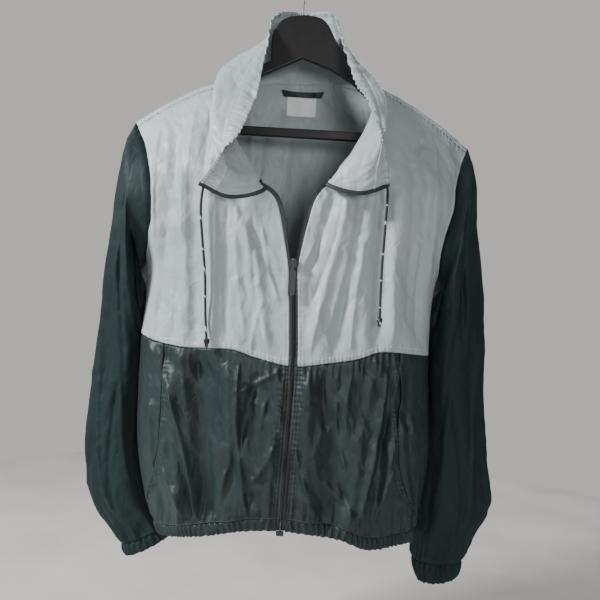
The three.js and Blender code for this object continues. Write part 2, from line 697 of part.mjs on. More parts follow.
// Upper back, carried over the ridge to the forward shoulder seams
function upperBack() {
  const neckSteps = BACK_STATIONS.length - 1;
  const total = 2 * SHOULDER_STEPS + neckSteps;
  const last = RIDGE_ROWS + BACK_ROWS + BELOW_ROWS;
  const seamW = -FORWARD_SHOULDER + SEAM / 2;
  const shoulder = (side, t) => {
    const tip = column(ARMHOLES[side], 'z', 'front', seamHeight(side));
    const neck = neckPlace(side === 'left' ? SHOULDER_AT : 1 - SHOULDER_AT)[0];
    return [mix(tip, neck, t), seamW];
  };
  const top = (s) => {
    const k = s * total;
    if (k <= SHOULDER_STEPS) return shoulder('left', k / SHOULDER_STEPS);
    if (k >= total - SHOULDER_STEPS) return shoulder('right', (total - k) / SHOULDER_STEPS);
    return neckPlace(BACK_STATIONS[Math.round(k - SHOULDER_STEPS)]);
  };
  const foot = (s) => {
    const x = mix(leftEdge(WAIST_Z.left), rightEdge(WAIST_Z.right), (1 - Math.cos(Math.PI * s)) / 2);
    return [x, ridge(x) - column(BACK_WAIST, 'x', 'z', x) - SEAM / 2];
  };
  const sideAt = (side) => (t) => {
    const k = t * last;
    if (k <= RIDGE_ROWS) {
      const w = mix(seamW, 0, [0, 0.62, 1][Math.round(k)]);
      const z = mix(tipOf(side).z, seamHeight(side), -w / FORWARD_SHOULDER);
      return [column(ARMHOLES[side], 'z', 'front', z), w];
    }
    const down = k - RIDGE_ROWS;
    if (down <= BACK_ROWS) {
      const z = armholeHeight(side, (down / BACK_ROWS) * 180);
      const x = column(ARMHOLES[side], 'z', 'back', z);
      return [x, ridge(x) - z];
    }
    const z = mix(underOf(side).z, WAIST_Z[side] + SEAM / 2, (down - BACK_ROWS) / BELOW_ROWS);
    const x = side === 'left' ? leftEdge(z) : rightEdge(z);
    return [x, ridge(x) - z];
  };
  const grid = between(top, foot, sideAt('left'), sideAt('right'), steps(total), steps(last));
  const normals = grid.map((row) => row.map(([x, w]) => bodyNormal(...overRidge(x, w))));
  const points = grid.map((row) => row.map(([x, w]) => bodyPoint(...overRidge(x, w))));
  add('back_upper', wallFrom(points, movedIn(points, normals, CLOTH), false), PALE);
  return { points, normals };
}

// Lower fronts with the pocket seam, and the side panels behind it
function lowerFront(side) {
  const sign = side === 'left' ? -1 : 1;
  const edge = side === 'left' ? leftEdge : rightEdge;
  const pocket = POCKETS[side];
  const end = pocket[pocket.length - 1];
  const pocketRows = 12;
  const hemRows = 2;
  const seamX = (z, away) => column(pocket, 'z', 'x', z) + sign * away;
  const slit = (z) => column(pocket, 'z', 'slit', z);
  const hemTop = (x) => hem(x) + HEM_BAND;
  const share = pocketRows / (pocketRows + hemRows);
  const frontOuter = (t) => {
    if (t <= share) {
      const z = mix(pocket[0].z, end.z, t / share);
      return [seamX(z, -SEAM / 2 - slit(z) / 2), z];
    }
    const foot = hemTop(edge(HEM_Z.left));
    const u = (t - share) / (1 - share);
    const z = mix(end.z, foot, u);
    return [mix(seamX(end.z, 0), edge(foot), u ** 0.7), z];
  };
  const inner = (z) => zipLine(z) + sign * ZIP_HALF;
  const top = (s) => {
    const x = mix(frontOuter(0)[0], inner(WAIST_Z.zip), s);
    return [x, waist(x) - SEAM / 2];
  };
  const foot = (s) => {
    const outer = edge(hemTop(edge(HEM_Z.left)));
    const x = mix(outer, inner(HEM_Z.zip), 1 - Math.cos((s * Math.PI) / 2));
    return [x, hemTop(x)];
  };
  const zip = (t) => {
    const z = mix(WAIST_Z.zip, HEM_Z.zip, t);
    return [inner(z), z];
  };
  const grid = between(top, foot, frontOuter, zip, steps(14), steps(pocketRows + hemRows));
  add(`front_lower_${side}`, faceWall(grid, -1), DARK);

  const sideTop = (s) => {
    const start = edge(WAIST_Z.side);
    const x = mix(start, seamX(pocket[0].z, SEAM / 2), 1 - Math.cos((s * Math.PI) / 2));
    return [x, waist(x) - SEAM / 2];
  };
  const low = end.z + 1;
  const sideFoot = (s) => [mix(edge(low), seamX(low, SEAM / 2), s), low];
  const sideSeam = (t) => {
    const z = mix(pocket[0].z, low, t);
    return [seamX(z, SEAM / 2 + slit(z) / 2), z];
  };
  const sideEdge = (t) => {
    const z = mix(WAIST_Z.side, low, t);
    return [edge(z), z];
  };
  const sideGrid = between(sideTop, sideFoot, sideEdge, sideSeam, steps(6), steps(pocketRows));
  add(`front_side_${side}`, faceWall(sideGrid, -1), DARK);

  const bagEnd = (z) => (s) => [mix(seamX(z, BAG.out), seamX(z, BAG.in), s), z];
  const bagEdge = (away) => (t) => {
    const z = mix(BAG.top, BAG.foot, t);
    return [seamX(z, away), z];
  };
  const bag = between(bagEnd(BAG.top), bagEnd(BAG.foot), bagEdge(BAG.out), bagEdge(BAG.in),
    steps(BAG.steps), steps(BAG.steps));
  add(`pocket_bag_${side}`, faceWall(bag, -1, CLOTH + BAG_BEHIND[side]), DARK);
}

function lowerBack() {
  const hemTop = (x) => backHem(x) + HEM_BAND;
  const spread = (s) => (1 - Math.cos(Math.PI * s)) / 2;
  const top = (s) => {
    const x = mix(leftEdge(WAIST_Z.left), rightEdge(WAIST_Z.right), spread(s));
    return [x, column(BACK_WAIST, 'x', 'z', x) - SEAM / 2];
  };
  const foot = (s) => {
    const x = mix(leftEdge(HEM_Z.left), rightEdge(HEM_Z.right), spread(s));
    return [x, hemTop(x)];
  };
  const sideAt = (edge, start, end) => (t) => {
    const z = mix(start, end, t);
    return [edge(z), z];
  };
  const left = sideAt(leftEdge, WAIST_Z.left, HEM_Z.left);
  const right = sideAt(rightEdge, WAIST_Z.right, HEM_Z.right);
  const grid = between(top, foot, left, right, steps(20), steps(11));
  add('back_lower', faceWall(grid, 1), DARK);
}

const middleOf = (row) => row.reduce((sum, p) => sum.add(p), new THREE.Vector3())
  .multiplyScalar(1 / row.length);

// Sleeve section: a closed ring of points round the tube at one station
function sleeveRing(table, along, turns, foldScale) {
  const value = (name) => column(table, 'along', name, along);
  const outer = new THREE.Vector3(value('ox'), value('middle'), value('oz'));
  const inner = new THREE.Vector3(value('ix'), value('middle'), value('iz'));
  const centre = outer.clone().add(inner).multiplyScalar(0.5);
  const reach = outer.clone().sub(centre);
  const half = value('half');
  return turns.map((turn) => {
    const angle = degrees(turn);
    const cut = foldScale * sleeveFold(turn, along);
    const size = 1 - cut / Math.max(half, 20);
    return centre.clone().addScaledVector(reach, Math.cos(angle) * size)
      .add(new THREE.Vector3(0, -half * Math.sin(angle) * size, 0));
  });
}

// Depth of the sleeve folds at a turn round the tube and a station along it
function sleeveFold(turn, along) {
  let depth = 0;
  for (const fold of SLEEVE_FOLDS) {
    const t = (along - fold.from) / (fold.to - fold.from);
    const inside = clamp(Math.min(t, 1 - t) / 0.25 + 0.4, 0, 1);
    let apart = turn - fold.turn - fold.lean * (t - 0.5);
    apart -= 360 * Math.round(apart / 360);
    depth += fold.depth * smooth(inside) * bell(apart, fold.width);
  }
  return depth;
}

// Turns of the sleeve stations: they meet the rows of the fronts and of the back
function sleeveTurns(side) {
  const turns = [0];
  for (let k = 0; k < FRONT_ROWS; k += 1) turns.push(mix(seamTurn(side), 180, k / (FRONT_ROWS - 1)));
  for (let k = BACK_ROWS - 1; k > 0; k -= 1) turns.push(360 - (k / BACK_ROWS) * 180);
  return turns;
}

// Armhole loop of the body, moved off the panel edge by a seam
function armholeRing(side, turns) {
  const sign = side === 'left' ? -1 : 1;
  const place = (turn) => {
    const back = turn > 180;
    const z = armholeHeight(side, back ? 360 - turn : turn);
    const face = back ? 1 : -1;
    return [column(ARMHOLES[side], 'z', back ? 'back' : 'front', z), z, face];
  };
  const points = turns.map((turn) => bodyPoint(...place(turn)));
  const normals = turns.map((turn) => bodyNormal(...place(turn)));
  const count = turns.length;
  const away = new THREE.Vector3(sign, 0, 0.7);
  const moved = points.map((point, i) => {
    const along = points[(i + 1) % count].clone().sub(points[(i - 1 + count) % count]);
    const out = along.cross(normals[i]).normalize();
    if (out.dot(away) < 0) out.negate();
    return point.clone().addScaledVector(out, SEAM);
  });
  return { points: moved, normals };
}

const SLEEVE_STATIONS = [0.045, 0.1, 0.17, 0.25, 0.33, 0.42, 0.51, 0.6, 0.69, 0.77, 0.85, 0.92, 1];

function sleeve(side) {
  const turns = sleeveTurns(side);
  const loop = armholeRing(side, turns);
  const rows = [loop.points];
  for (const along of SLEEVE_STATIONS) {
    const foldScale = smooth(clamp((1 - along) / 0.1, 0.25, 1));
    rows.push(sleeveRing(SLEEVES[side], along, turns, foldScale));
  }
  const centres = rows.map(middleOf);
  const normals = gridNormals(rows, true, (point, j) => point.clone().sub(centres[j]));
  normals[0] = loop.normals;
  add(`sleeve_${side}`, wallFrom(rows, movedIn(rows, normals, CLOTH), true), DARK);
}

// Elastic cuffs, gathered into pleats
function cuff(side) {
  const turns = steps(CUFF_GATHERS * 3).slice(0, -1).map((t) => t * 360);
  const rows = [0, 0.5, 1].map((along) => {
    const ring = sleeveRing(CUFFS[side], along, turns, 0);
    const centre = middleOf(ring);
    return ring.map((point, i) => {
      const out = point.clone().sub(centre).normalize();
      const ripple = [1, 0.1, -1][i % 3] * mix(0.9, 1.15, Math.abs(along - 0.5) * 2);
      return point.addScaledVector(out, ripple * CUFF_RIPPLE);
    });
  });
  const middle = middleOf(rows[1]);
  const normals = gridNormals(rows, true, (point) => point.clone().sub(middle));
  add(`cuff_${side}`, wallFrom(rows, movedIn(rows, normals, CLOTH), true), DARK);
}

// Elastic hem band round the body from one side of the zip to the other
function hemBand() {
  const count = HEM_GATHERS * 3;
  const start = zipLine(HEM_Z.band) - ZIP_HALF - BAND_START;
  const end = zipLine(HEM_Z.band) + ZIP_HALF + BAND_END;
  const across = (angle, z) => mix(leftEdge(z), rightEdge(z), (1 + Math.cos(angle)) / 2);
  const turnAt = (x) => {
    const share = (x - leftEdge(HEM_Z.band)) / (rightEdge(HEM_Z.band) - leftEdge(HEM_Z.band));
    return Math.acos(clamp(2 * share - 1, -1, 1));
  };
  const first = turnAt(start);
  const last = turnAt(end) + 2 * Math.PI;
  const points = [0, 0.5, 1].map((drop) => steps(count).map((t, i) => {
    const angle = mix(first, last, t);
    const face = Math.sin(angle) >= 0 ? -1 : 1;
    const edge = face < 0 ? hem : backHem;
    const rise = (HEM_BAND - BAND_GAP) * (1 - drop);
    const clear = i < count / 2
      ? (x) => Math.min(x, start - i * BAND_SLOPE)
      : (x) => Math.max(x, end + (count - i) * BAND_SLOPE);
    const x = clear(across(angle, edge(across(angle, HEM_Z.band)) + rise));
    const z = edge(x) + rise;
    const ripple = [1, 0.1, -1][i % 3] * HEM_RIPPLE * (i < 2 || i > count - 2 ? 0.2 : 1);
    return bodyPoint(x, z, face).addScaledVector(bodyNormal(x, z, face), ripple);
  }));
  const normals = gridNormals(points, false, (point) => point.clone().sub(BAND_HOLE).setZ(0));
  add('hem_band', wallFrom(points, movedIn(points, normals, CLOTH), false), DARK);
}

// Point of the neck seam on the body
function neckSeam(at) {
  const [x, w] = neckPlace(at);
  return bodyPoint(...overRidge(x, w));
}

// Neck stations shared by the fronts, the back and the collar
function neckStations() {
  const front = steps(NECK_STEPS).map((t) => SHOULDER_AT * t);
  const back = BACK_STATIONS.slice(1, -1);
  return [...front, ...back, ...front.map((t) => 1 - t).reverse()];
}

const COLLAR_GAP = 0.75;
const COLLAR_ROWS = [0, 0.1, 0.2, 0.32, 0.46, 0.6, 0.74, 0.88, 1];
const ROLL_Z = -240;
const COLLAR_HOLE = new THREE.Vector3(4, -40, -140);

// Grid of the collar from the neck seam to its top edge
function collarGrid() {
  const stations = neckStations();
  const seam = stations.map((at) => neckSeam(at));
  const normals = stations.map((at) => {
    const [x, w] = neckPlace(at);
    return bodyNormal(...overRidge(x, w));
  });
  const columns = stations.map((at, i) => {
    const along = seam[Math.min(i + 1, seam.length - 1)].clone().sub(seam[Math.max(i - 1, 0)]);
    const away = along.cross(normals[i]).normalize();
    if (away.dot(COLLAR_HOLE.clone().sub(seam[i])) < 0) away.negate();
    const root = seam[i].clone().addScaledVector(away, COLLAR_GAP);
    const read = (name) => column(COLLAR, 'at', name, at);
    const section = [
      { v: 0, x: root.x, y: root.y, z: root.z },
      { v: 0.2, x: read('rx'), y: read('ry'), z: read('rz') },
      { v: 0.6, x: read('mx'), y: read('my'), z: read('mz') },
      { v: 1, x: read('ex'), y: read('ey'), z: read('ez') },
    ];
    return COLLAR_ROWS.map((v) => new THREE.Vector3(
      column(section, 'v', 'x', v), column(section, 'v', 'y', v), column(section, 'v', 'z', v)));
  });
  return COLLAR_ROWS.map((_, j) => columns.map((points) => points[j]));
}

function collar() {
  const rows = collarGrid();
  const outwards = (point) => (
    point.clone().sub(COLLAR_HOLE).setZ(0).multiplyScalar(point.z > ROLL_Z ? 1 : 0));
  const normals = gridNormals(rows, false, outwards);
  add('collar', wallFrom(rows, movedIn(rows, normals, CLOTH), false), PALE);
  return { rows, normals };
}

// Stations of the tape beside the open edge: its seam side and its free side
function openTape(side) {
  const sign = side === 'left' ? -1 : 1;
  const read = (name, along) => column(OPENING[side], 'along', name, clamp(along, 0, 1));
  return steps(OPEN_STEPS).map((along) => {
    const run = ['x', 'z'].map((name) => read(name, along + 0.02) - read(name, along - 0.02));
    const length = Math.hypot(...run);
    const out = new THREE.Vector2(-run[1] / length, run[0] / length);
    if (out.x * -sign < 0) out.negate();
    const gap = SEAM * mix(2.6, 1, clamp(along * 5, 0, 1));
    const wide = mix(OPEN_TAPE, ZIP_TAPE, smooth(clamp((along - 0.55) / 0.45, 0, 1)));
    return [gap, gap + wide].map((reach) => (
      [read('x', along) + out.x * reach, read('z', along) + out.y * reach]));
  });
}

// Zip tapes of one side: along the open edge and down the closed front
function zipTape(side) {
  const sign = side === 'left' ? -1 : 1;
  const closed = steps(TAPE_STEPS).slice(1).map((t) => {
    const z = mix(UNDERARM_Z, TAPE_FOOT_Z, t);
    const edge = zipLine(z) + sign * (ZIP_HALF - SEAM);
    return [[edge, z], [edge - sign * ZIP_TAPE, z]];
  });
  add(`zip_tape_${side}`, faceWall([...openTape(side), ...closed], -1), TAPE_GREY);
}

// Tape along the end of the collar, which carries the zip on to the top edge
function zipEdge(side, { rows, normals }) {
  const end = side === 'left' ? 0 : rows[0].length - 1;
  const next = side === 'left' ? 1 : end - 1;
  const last = rows.length - 1;
  const strip = rows.map((row, j) => {
    const along = rows[Math.min(j + 1, last)][end].clone().sub(rows[Math.max(j - 1, 0)][end]).normalize();
    const away = row[end].clone().sub(row[next]).normalize();
    away.addScaledVector(along, -away.dot(along)).normalize();
    return [SEAM, SEAM + OPEN_TAPE].map((reach) => row[end].clone().addScaledVector(away, reach));
  }).slice(1);
  const flat = normals.slice(1).map((row) => [row[end], row[end]]);
  add(`zip_edge_${side}`, wallFrom(strip, movedIn(strip, flat, CLOTH), false), TAPE_GREY);
}

function zipChain() {
  const rows = steps(24).map((t) => {
    const z = mix(SLIDER_Z - 10, ZIP_FOOT_Z, t);
    return [-1, 0, 1].map((side) => {
      const x = zipLine(z) + (side * ZIP_CHAIN) / 2;
      return bodyPoint(x, z, -1).add(new THREE.Vector3(0, side === 0 ? -0.5 : 0, 0));
    });
  });
  const normals = rows.map((row) => row.map(() => new THREE.Vector3(0, -1, 0)));
  add('zip_chain', wallFrom(rows, movedIn(rows, normals, ZIP_THICK), false), TAPE_GREY, 0.4);
}

// Box with corners cut, centred on a place
function block(wide, deep, high, cut, x, y, z) {
  const shape = new THREE.Shape();
  const w = wide / 2;
  const h = high / 2;
  shape.moveTo(-w + cut, -h);
  shape.lineTo(w - cut, -h);
  shape.lineTo(w, -h + cut);
  shape.lineTo(w, h - cut);
  shape.lineTo(w - cut, h);
  shape.lineTo(-w + cut, h);
  shape.lineTo(-w, h - cut);
  shape.lineTo(-w, -h + cut);
  shape.closePath();
  const geometry = new THREE.ExtrudeGeometry(shape, { depth: deep, bevelEnabled: false });
  geometry.rotateX(Math.PI / 2);
  geometry.translate(x, y + deep / 2, z);
  return geometry;
}

// Slider body, the bridge on its face, and the box at the foot of the zip
function slider() {
  const x = zipLine(SLIDER_Z);
  const face = bodyPoint(x, SLIDER_Z, -1).y - SEAM;
  add('slider', block(10, SLIDER_DEEP, 12, 2.4, x, face - SLIDER_DEEP / 2, SLIDER_Z - 1), TAPE_GREY, 0.4);
  const bridge = face - SLIDER_DEEP - SEAM - BRIDGE_DEEP / 2;
  add('slider_bridge', block(3.2, BRIDGE_DEEP, 9, 0.8, x, bridge, SLIDER_Z), STEEL, 0.35);
  const low = ZIP_FOOT_Z - ZIP_BOX_DROP;
  const foot = zipLine(low);
  const behind = bodyPoint(foot, low, -1).y;
  add('zip_box', block(10.4, 3.4, 6, 1.2, foot, behind - 2.1, low), TAPE_GREY, 0.4);
}

// Pull tab hanging from the bridge, turning about its upper end
function pullTab() {
  const x = zipLine(SLIDER_Z);
  const bridge = bodyPoint(x, SLIDER_Z, -1).y - 2 * SEAM - SLIDER_DEEP - BRIDGE_DEEP;
  const y = bridge - PULL_GAP - PULL_THICK / 2;
  const half = PULL_WIDE / 2;
  const shape = new THREE.Shape();
  shape.moveTo(-PULL_NECK / 2, 4);
  shape.lineTo(-PULL_NECK / 2, -9);
  shape.lineTo(-half, -13);
  shape.lineTo(-half, 2 - PULL_LONG);
  shape.lineTo(2 - half, -PULL_LONG);
  shape.lineTo(half - 2, -PULL_LONG);
  shape.lineTo(half, 2 - PULL_LONG);
  shape.lineTo(half, -13);
  shape.lineTo(PULL_NECK / 2, -9);
  shape.lineTo(PULL_NECK / 2, 4);
  shape.closePath();
  const geometry = new THREE.ExtrudeGeometry(shape, { depth: PULL_THICK, bevelEnabled: false });
  geometry.rotateX(Math.PI / 2);
  geometry.translate(x, y + PULL_THICK / 2, SLIDER_Z);
  add('pull_tab', geometry, TAPE_GREY, 0.45);
}

// Round bar along a path of points, closed at both ends
function roundBar(path, radius, sides, count) {
  const curve = new THREE.CatmullRomCurve3(path, false, 'centripetal');
  const shape = new THREE.Shape();
  for (let k = 0; k < sides; k += 1) {
    const angle = (2 * Math.PI * k) / sides;
    const point = [radius * Math.cos(angle), radius * Math.sin(angle)];
    if (k === 0) shape.moveTo(...point);
    else shape.lineTo(...point);
  }
  shape.closePath();
  return new THREE.ExtrudeGeometry(shape, { steps: count, bevelEnabled: false, extrudePath: curve });
}

function drawcord(side) {
  const route = CORDS[side].map(({ x, y, z }) => new THREE.Vector3(x, y, z));
  add(`drawcord_${side}`, roundBar(route, CORD / 2, CORD_SIDES, 28), CORD_GREY, 0.8);
  const knot = KNOTS[side];
  const ball = new THREE.SphereGeometry(knot.radius, 10, 8);
  ball.scale(1, 1, knot.half / knot.radius);
  ball.translate(knot.x, knot.y, knot.z);
  add(`cord_knot_${side}`, ball, CORD_GREY, 0.8);
}

// Hanger: domed neck plate, two arms and a cross bar in one plate with rounded edges
function hanger() {
  const armTop = (x) => ridge(x) - ARM_DROP - HANGER_BEVEL - NECK_DIP * bell(Math.abs(x) - 110, 20);
  const outline = [];
  const from = HANGER_DOME[0].x;
  const to = HANGER_DOME[HANGER_DOME.length - 1].x;
  const arm = (start, end, deep) => steps(8).map((t) => {
    const x = mix(start, end, t);
    return [x, armTop(x) - deep];
  });
  outline.push(...arm(HANGER_TIPS.left, from - DOME_FOOT, 0));
  for (const { x, z } of HANGER_DOME) outline.push([x, z]);
  outline.push(...arm(to + DOME_FOOT, HANGER_TIPS.right, 0));
  for (const { x, z } of HANGER_FOOT) outline.push([x, z]);
  const shape = new THREE.Shape(outline.map(([x, z]) => new THREE.Vector2(x, z)));
  const start = HANGER_TIPS.left + WINDOW_INSET.left;
  const end = HANGER_TIPS.right - WINDOW_INSET.right;
  const window = [
    ...arm(start, WINDOW_NECK[0].x - WINDOW_STEP, ARM_DEEP),
    ...WINDOW_NECK.map(({ x, z }) => [x, z]),
    ...arm(WINDOW_NECK[2].x + WINDOW_STEP, end, ARM_DEEP),
    [end, BAR_TOP],
    [start, BAR_TOP],
  ];
  shape.holes.push(new THREE.Path(window.reverse().map(([x, z]) => new THREE.Vector2(x, z))));
  const geometry = new THREE.ExtrudeGeometry(shape, {
    depth: 2 * (HANGER_HALF_DEPTH - HANGER_BEVEL),
    bevelEnabled: true,
    bevelSize: HANGER_BEVEL,
    bevelThickness: HANGER_BEVEL,
    bevelOffset: 0,
    bevelSegments: 2,
  });
  geometry.rotateX(Math.PI / 2);
  geometry.translate(0, HANGER_HALF_DEPTH - HANGER_BEVEL, 0);
  add('hanger', geometry, BLACK, 0.5);
  const hook = HOOK_PATH.map(({ x, z }) => new THREE.Vector3(x, 0, z));
  add('hanger_hook', roundBar(hook, HOOK_RADIUS, HOOK_SIDES, 30), STEEL, 0.3);
}

// Flat piece on the inner side of a panel, made from the panel's own points moved in
function insidePatch(name, wall, first, last, high, low, thick, colour) {
  const { points, normals } = wall;
  const sample = (grid, j, i) => {
    const j0 = Math.floor(j);
    const i0 = Math.min(Math.floor(i), last - 1);
    const upper = grid[j0][i0].clone().lerp(grid[j0][i0 + 1], i - i0);
    const lower = grid[j0 + 1][i0].clone().lerp(grid[j0 + 1][i0 + 1], i - i0);
    return upper.lerp(lower, j - j0);
  };
  const levels = steps(2).map((t) => mix(high, low, t));
  const places = steps(4).map((s) => mix(first, last, s));
  const normal = levels.map((j) => places.map((i) => sample(normals, j, i).normalize()));
  const rows = levels.map((j, a) => places.map((i, b) => (
    sample(points, j, i).addScaledVector(normal[a][b], -CLOTH - SEAM - 0.1))));
  add(name, wallFrom(rows, movedIn(rows, normal, thick), false), colour, 0.7);
}

for (const side of ['left', 'right']) {
  upperFront(side);
  lowerFront(side);
  sleeve(side);
  cuff(side);
  drawcord(side);
}
const backWall = upperBack();
lowerBack();
hemBand();
const collarWall = collar();
for (const side of ['left', 'right']) {
  zipTape(side);
  zipEdge(side, collarWall);
}
zipChain();
slider();
pullTab();
hanger();
insidePatch('neck_label', backWall, 11, 13, 0.72, 1.98, 0.6, LABEL_WHITE);
insidePatch('hanging_loop', backWall, 11, 13, 0.2, 0.6, 0.9, DARK);

export default group;
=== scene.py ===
import math

import bpy
import numpy as np
from mathutils import Matrix


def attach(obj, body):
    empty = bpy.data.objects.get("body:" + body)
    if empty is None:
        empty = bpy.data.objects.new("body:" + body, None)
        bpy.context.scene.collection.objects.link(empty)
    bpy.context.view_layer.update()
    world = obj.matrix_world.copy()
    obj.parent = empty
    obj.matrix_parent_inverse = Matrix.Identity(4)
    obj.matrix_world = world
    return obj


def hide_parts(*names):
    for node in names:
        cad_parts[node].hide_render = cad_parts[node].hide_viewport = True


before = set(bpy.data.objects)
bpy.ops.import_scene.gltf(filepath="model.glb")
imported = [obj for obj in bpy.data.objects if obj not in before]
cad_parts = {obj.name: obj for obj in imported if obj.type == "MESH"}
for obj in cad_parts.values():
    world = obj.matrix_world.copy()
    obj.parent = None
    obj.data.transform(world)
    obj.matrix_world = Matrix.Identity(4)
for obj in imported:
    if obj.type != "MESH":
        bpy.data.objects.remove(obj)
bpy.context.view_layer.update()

# Left and right as the photograph shows them, and which way each lies from the middle
SIDES = ("left", "right")
SIGN = {"left": -1, "right": 1}


# Object with its data, placed in the scene
def new_object(name, data):
    made = bpy.data.objects.new(name, data)
    bpy.context.scene.collection.objects.link(made)
    return made


# Camera: level with the middle of the jacket, straight at its front, rolled a little
CAMERA_ROLL = math.radians(3.3)
CAMERA_PLACE = (0.01963, -0.950, -0.49504)
SENSOR = 36.0
FRAME_WIDE = 0.882
camera_data = bpy.data.cameras.new("camera")
camera_data.sensor_width = SENSOR
camera_data.lens = SENSOR * abs(CAMERA_PLACE[1]) / FRAME_WIDE
camera = new_object("camera", camera_data)
across = (math.cos(CAMERA_ROLL), 0.0, math.sin(CAMERA_ROLL))
upward = (-math.sin(CAMERA_ROLL), 0.0, math.cos(CAMERA_ROLL))
towards = (0.0, -1.0, 0.0)
turned = Matrix([across, upward, towards]).transposed().to_4x4()
camera.matrix_world = Matrix.Translation(CAMERA_PLACE) @ turned
bpy.context.scene.camera = camera


# Materials are trees of nodes, so one helper adds a node and sets its inputs
def tree_node(tree, kind, **settings):
    made = tree.nodes.new(kind)
    for key, value in settings.items():
        if key in made.inputs:
            made.inputs[key].default_value = value
        else:
            setattr(made, key, value)
    return made


def new_material(name, colour, roughness, metallic=0.0):
    made = bpy.data.materials.new(name)
    made.use_nodes = True
    made.diffuse_color = (*colour, 1.0)
    shader = made.node_tree.nodes["Principled BSDF"]
    shader.inputs["Base Color"].default_value = (*colour, 1.0)
    shader.inputs["Roughness"].default_value = roughness
    shader.inputs["Metallic"].default_value = metallic
    return made, made.node_tree, shader


def object_place(tree, scale=(1, 1, 1)):
    coordinate = tree_node(tree, "ShaderNodeTexCoord")
    mapping = tree_node(tree, "ShaderNodeMapping")
    mapping.inputs["Scale"].default_value = scale
    tree.links.new(coordinate.outputs["Object"], mapping.inputs["Vector"])
    return mapping.outputs["Vector"]


def two_colours(tree, factor, first, second, low=0.35, high=0.65):
    ramp = tree_node(tree, "ShaderNodeValToRGB")
    ramp.color_ramp.elements[0].position = low
    ramp.color_ramp.elements[0].color = (*first, 1.0)
    ramp.color_ramp.elements[1].position = high
    ramp.color_ramp.elements[1].color = (*second, 1.0)
    tree.links.new(factor, ramp.inputs["Fac"])
    return ramp.outputs["Color"]


# Grain that stands out of the surface, above an earlier one where there is one
def bump(tree, height, strength, distance, below=None):
    made = tree_node(tree, "ShaderNodeBump", Strength=strength, Distance=distance)
    tree.links.new(height, made.inputs["Height"])
    if below:
        tree.links.new(below, made.inputs["Normal"])
    return made.outputs["Normal"]


def speckled(name, first, second, roughness, scale, raised, metallic=0.0):
    made, tree, shader = new_material(name, first, roughness, metallic)
    grain = tree_node(tree, "ShaderNodeTexNoise", Scale=scale, Detail=4.0)
    tree.links.new(object_place(tree), grain.inputs["Vector"])
    tree.links.new(two_colours(tree, grain.outputs["Fac"], first, second), shader.inputs["Base Color"])
    tree.links.new(bump(tree, grain.outputs["Fac"], raised, 0.0003), shader.inputs["Normal"])
    return made


# Drawcords: round braided polyester, 3.4 mm thick, out of the collar's eyelets at the
# front corners, hanging down the chest to an overhand knot at each free end.
CORD_DIAMETER = 0.0034
CORD_ROUTES = {
    "left": [
        (-0.1102, -0.1105, -0.3445),
        (-0.1150, -0.1056, -0.3540),
        (-0.1170, -0.1030, -0.3850),
        (-0.1120, -0.1010, -0.4300),
        (-0.1070, -0.0990, -0.4700),
        (-0.1040, -0.0970, -0.5200),
        (-0.1010, -0.0960, -0.5520),
    ],
    "right": [
        (0.1210, -0.1070, -0.3335),
        (0.1260, -0.1040, -0.3460),
        (0.1260, -0.1030, -0.3850),
        (0.1250, -0.1010, -0.4300),
        (0.1250, -0.0990, -0.4700),
        (0.1260, -0.0970, -0.5100),
    ],
}
KNOTS = {"left": (-0.1004, -0.0960, -0.5580), "right": (0.1260, -0.0970, -0.5175)}
KNOT_SIZE = 0.0018
KNOT_SHAPE = (0.5, 0.75, 1.1)
CORD_STEPS = 10
CORD_DARK = (0.012, 0.015, 0.018)
CORD_FLECK = (0.42, 0.46, 0.47)


def cord_material():
    made, tree, shader = new_material("cord_braid", CORD_DARK, 0.75)
    place = object_place(tree)
    braid = tree_node(tree, "ShaderNodeTexWave", Scale=130.0, Distortion=2.5)
    flecks = tree_node(tree, "ShaderNodeTexWave", Scale=21.0, Distortion=7.0)
    for pattern in (braid, flecks):
        pattern.bands_direction = "DIAGONAL"
        tree.links.new(place, pattern.inputs["Vector"])
    colours = two_colours(tree, flecks.outputs["Fac"], CORD_DARK, CORD_FLECK, 0.975, 0.992)
    tree.links.new(colours, shader.inputs["Base Color"])
    tree.links.new(bump(tree, braid.outputs["Fac"], 0.6, 0.0004), shader.inputs["Normal"])
    return made


# Smooth points through a short route, closely spaced
def smooth_route(points, steps):
    p = np.array(points, float)
    p = np.vstack([2 * p[0] - p[1], p, 2 * p[-1] - p[-2]])
    made = []
    for a, b, c, d in zip(p[:-3], p[1:-2], p[2:-1], p[3:]):
        for t in np.arange(steps) / steps:
            made.append(0.5 * (2 * b + (c - a) * t + (2 * a - 5 * b + 4 * c - d) * t**2
                               + (3 * b - a - 3 * c + d) * t**3))
    made.append(p[-2])
    return np.array(made)


def curve_piece(name, points, radius, material, closed=False):
    data = bpy.data.curves.new(name, "CURVE")
    data.dimensions = "3D"
    data.bevel_depth = radius
    data.bevel_resolution = 3
    data.use_fill_caps = True
    spline = data.splines.new("POLY")
    spline.points.add(len(points) - 1)
    spline.points.foreach_set("co", np.hstack([points, np.ones((len(points), 1))]).ravel())
    spline.use_cyclic_u = closed
    data.materials.append(material)
    return new_object(name, data)


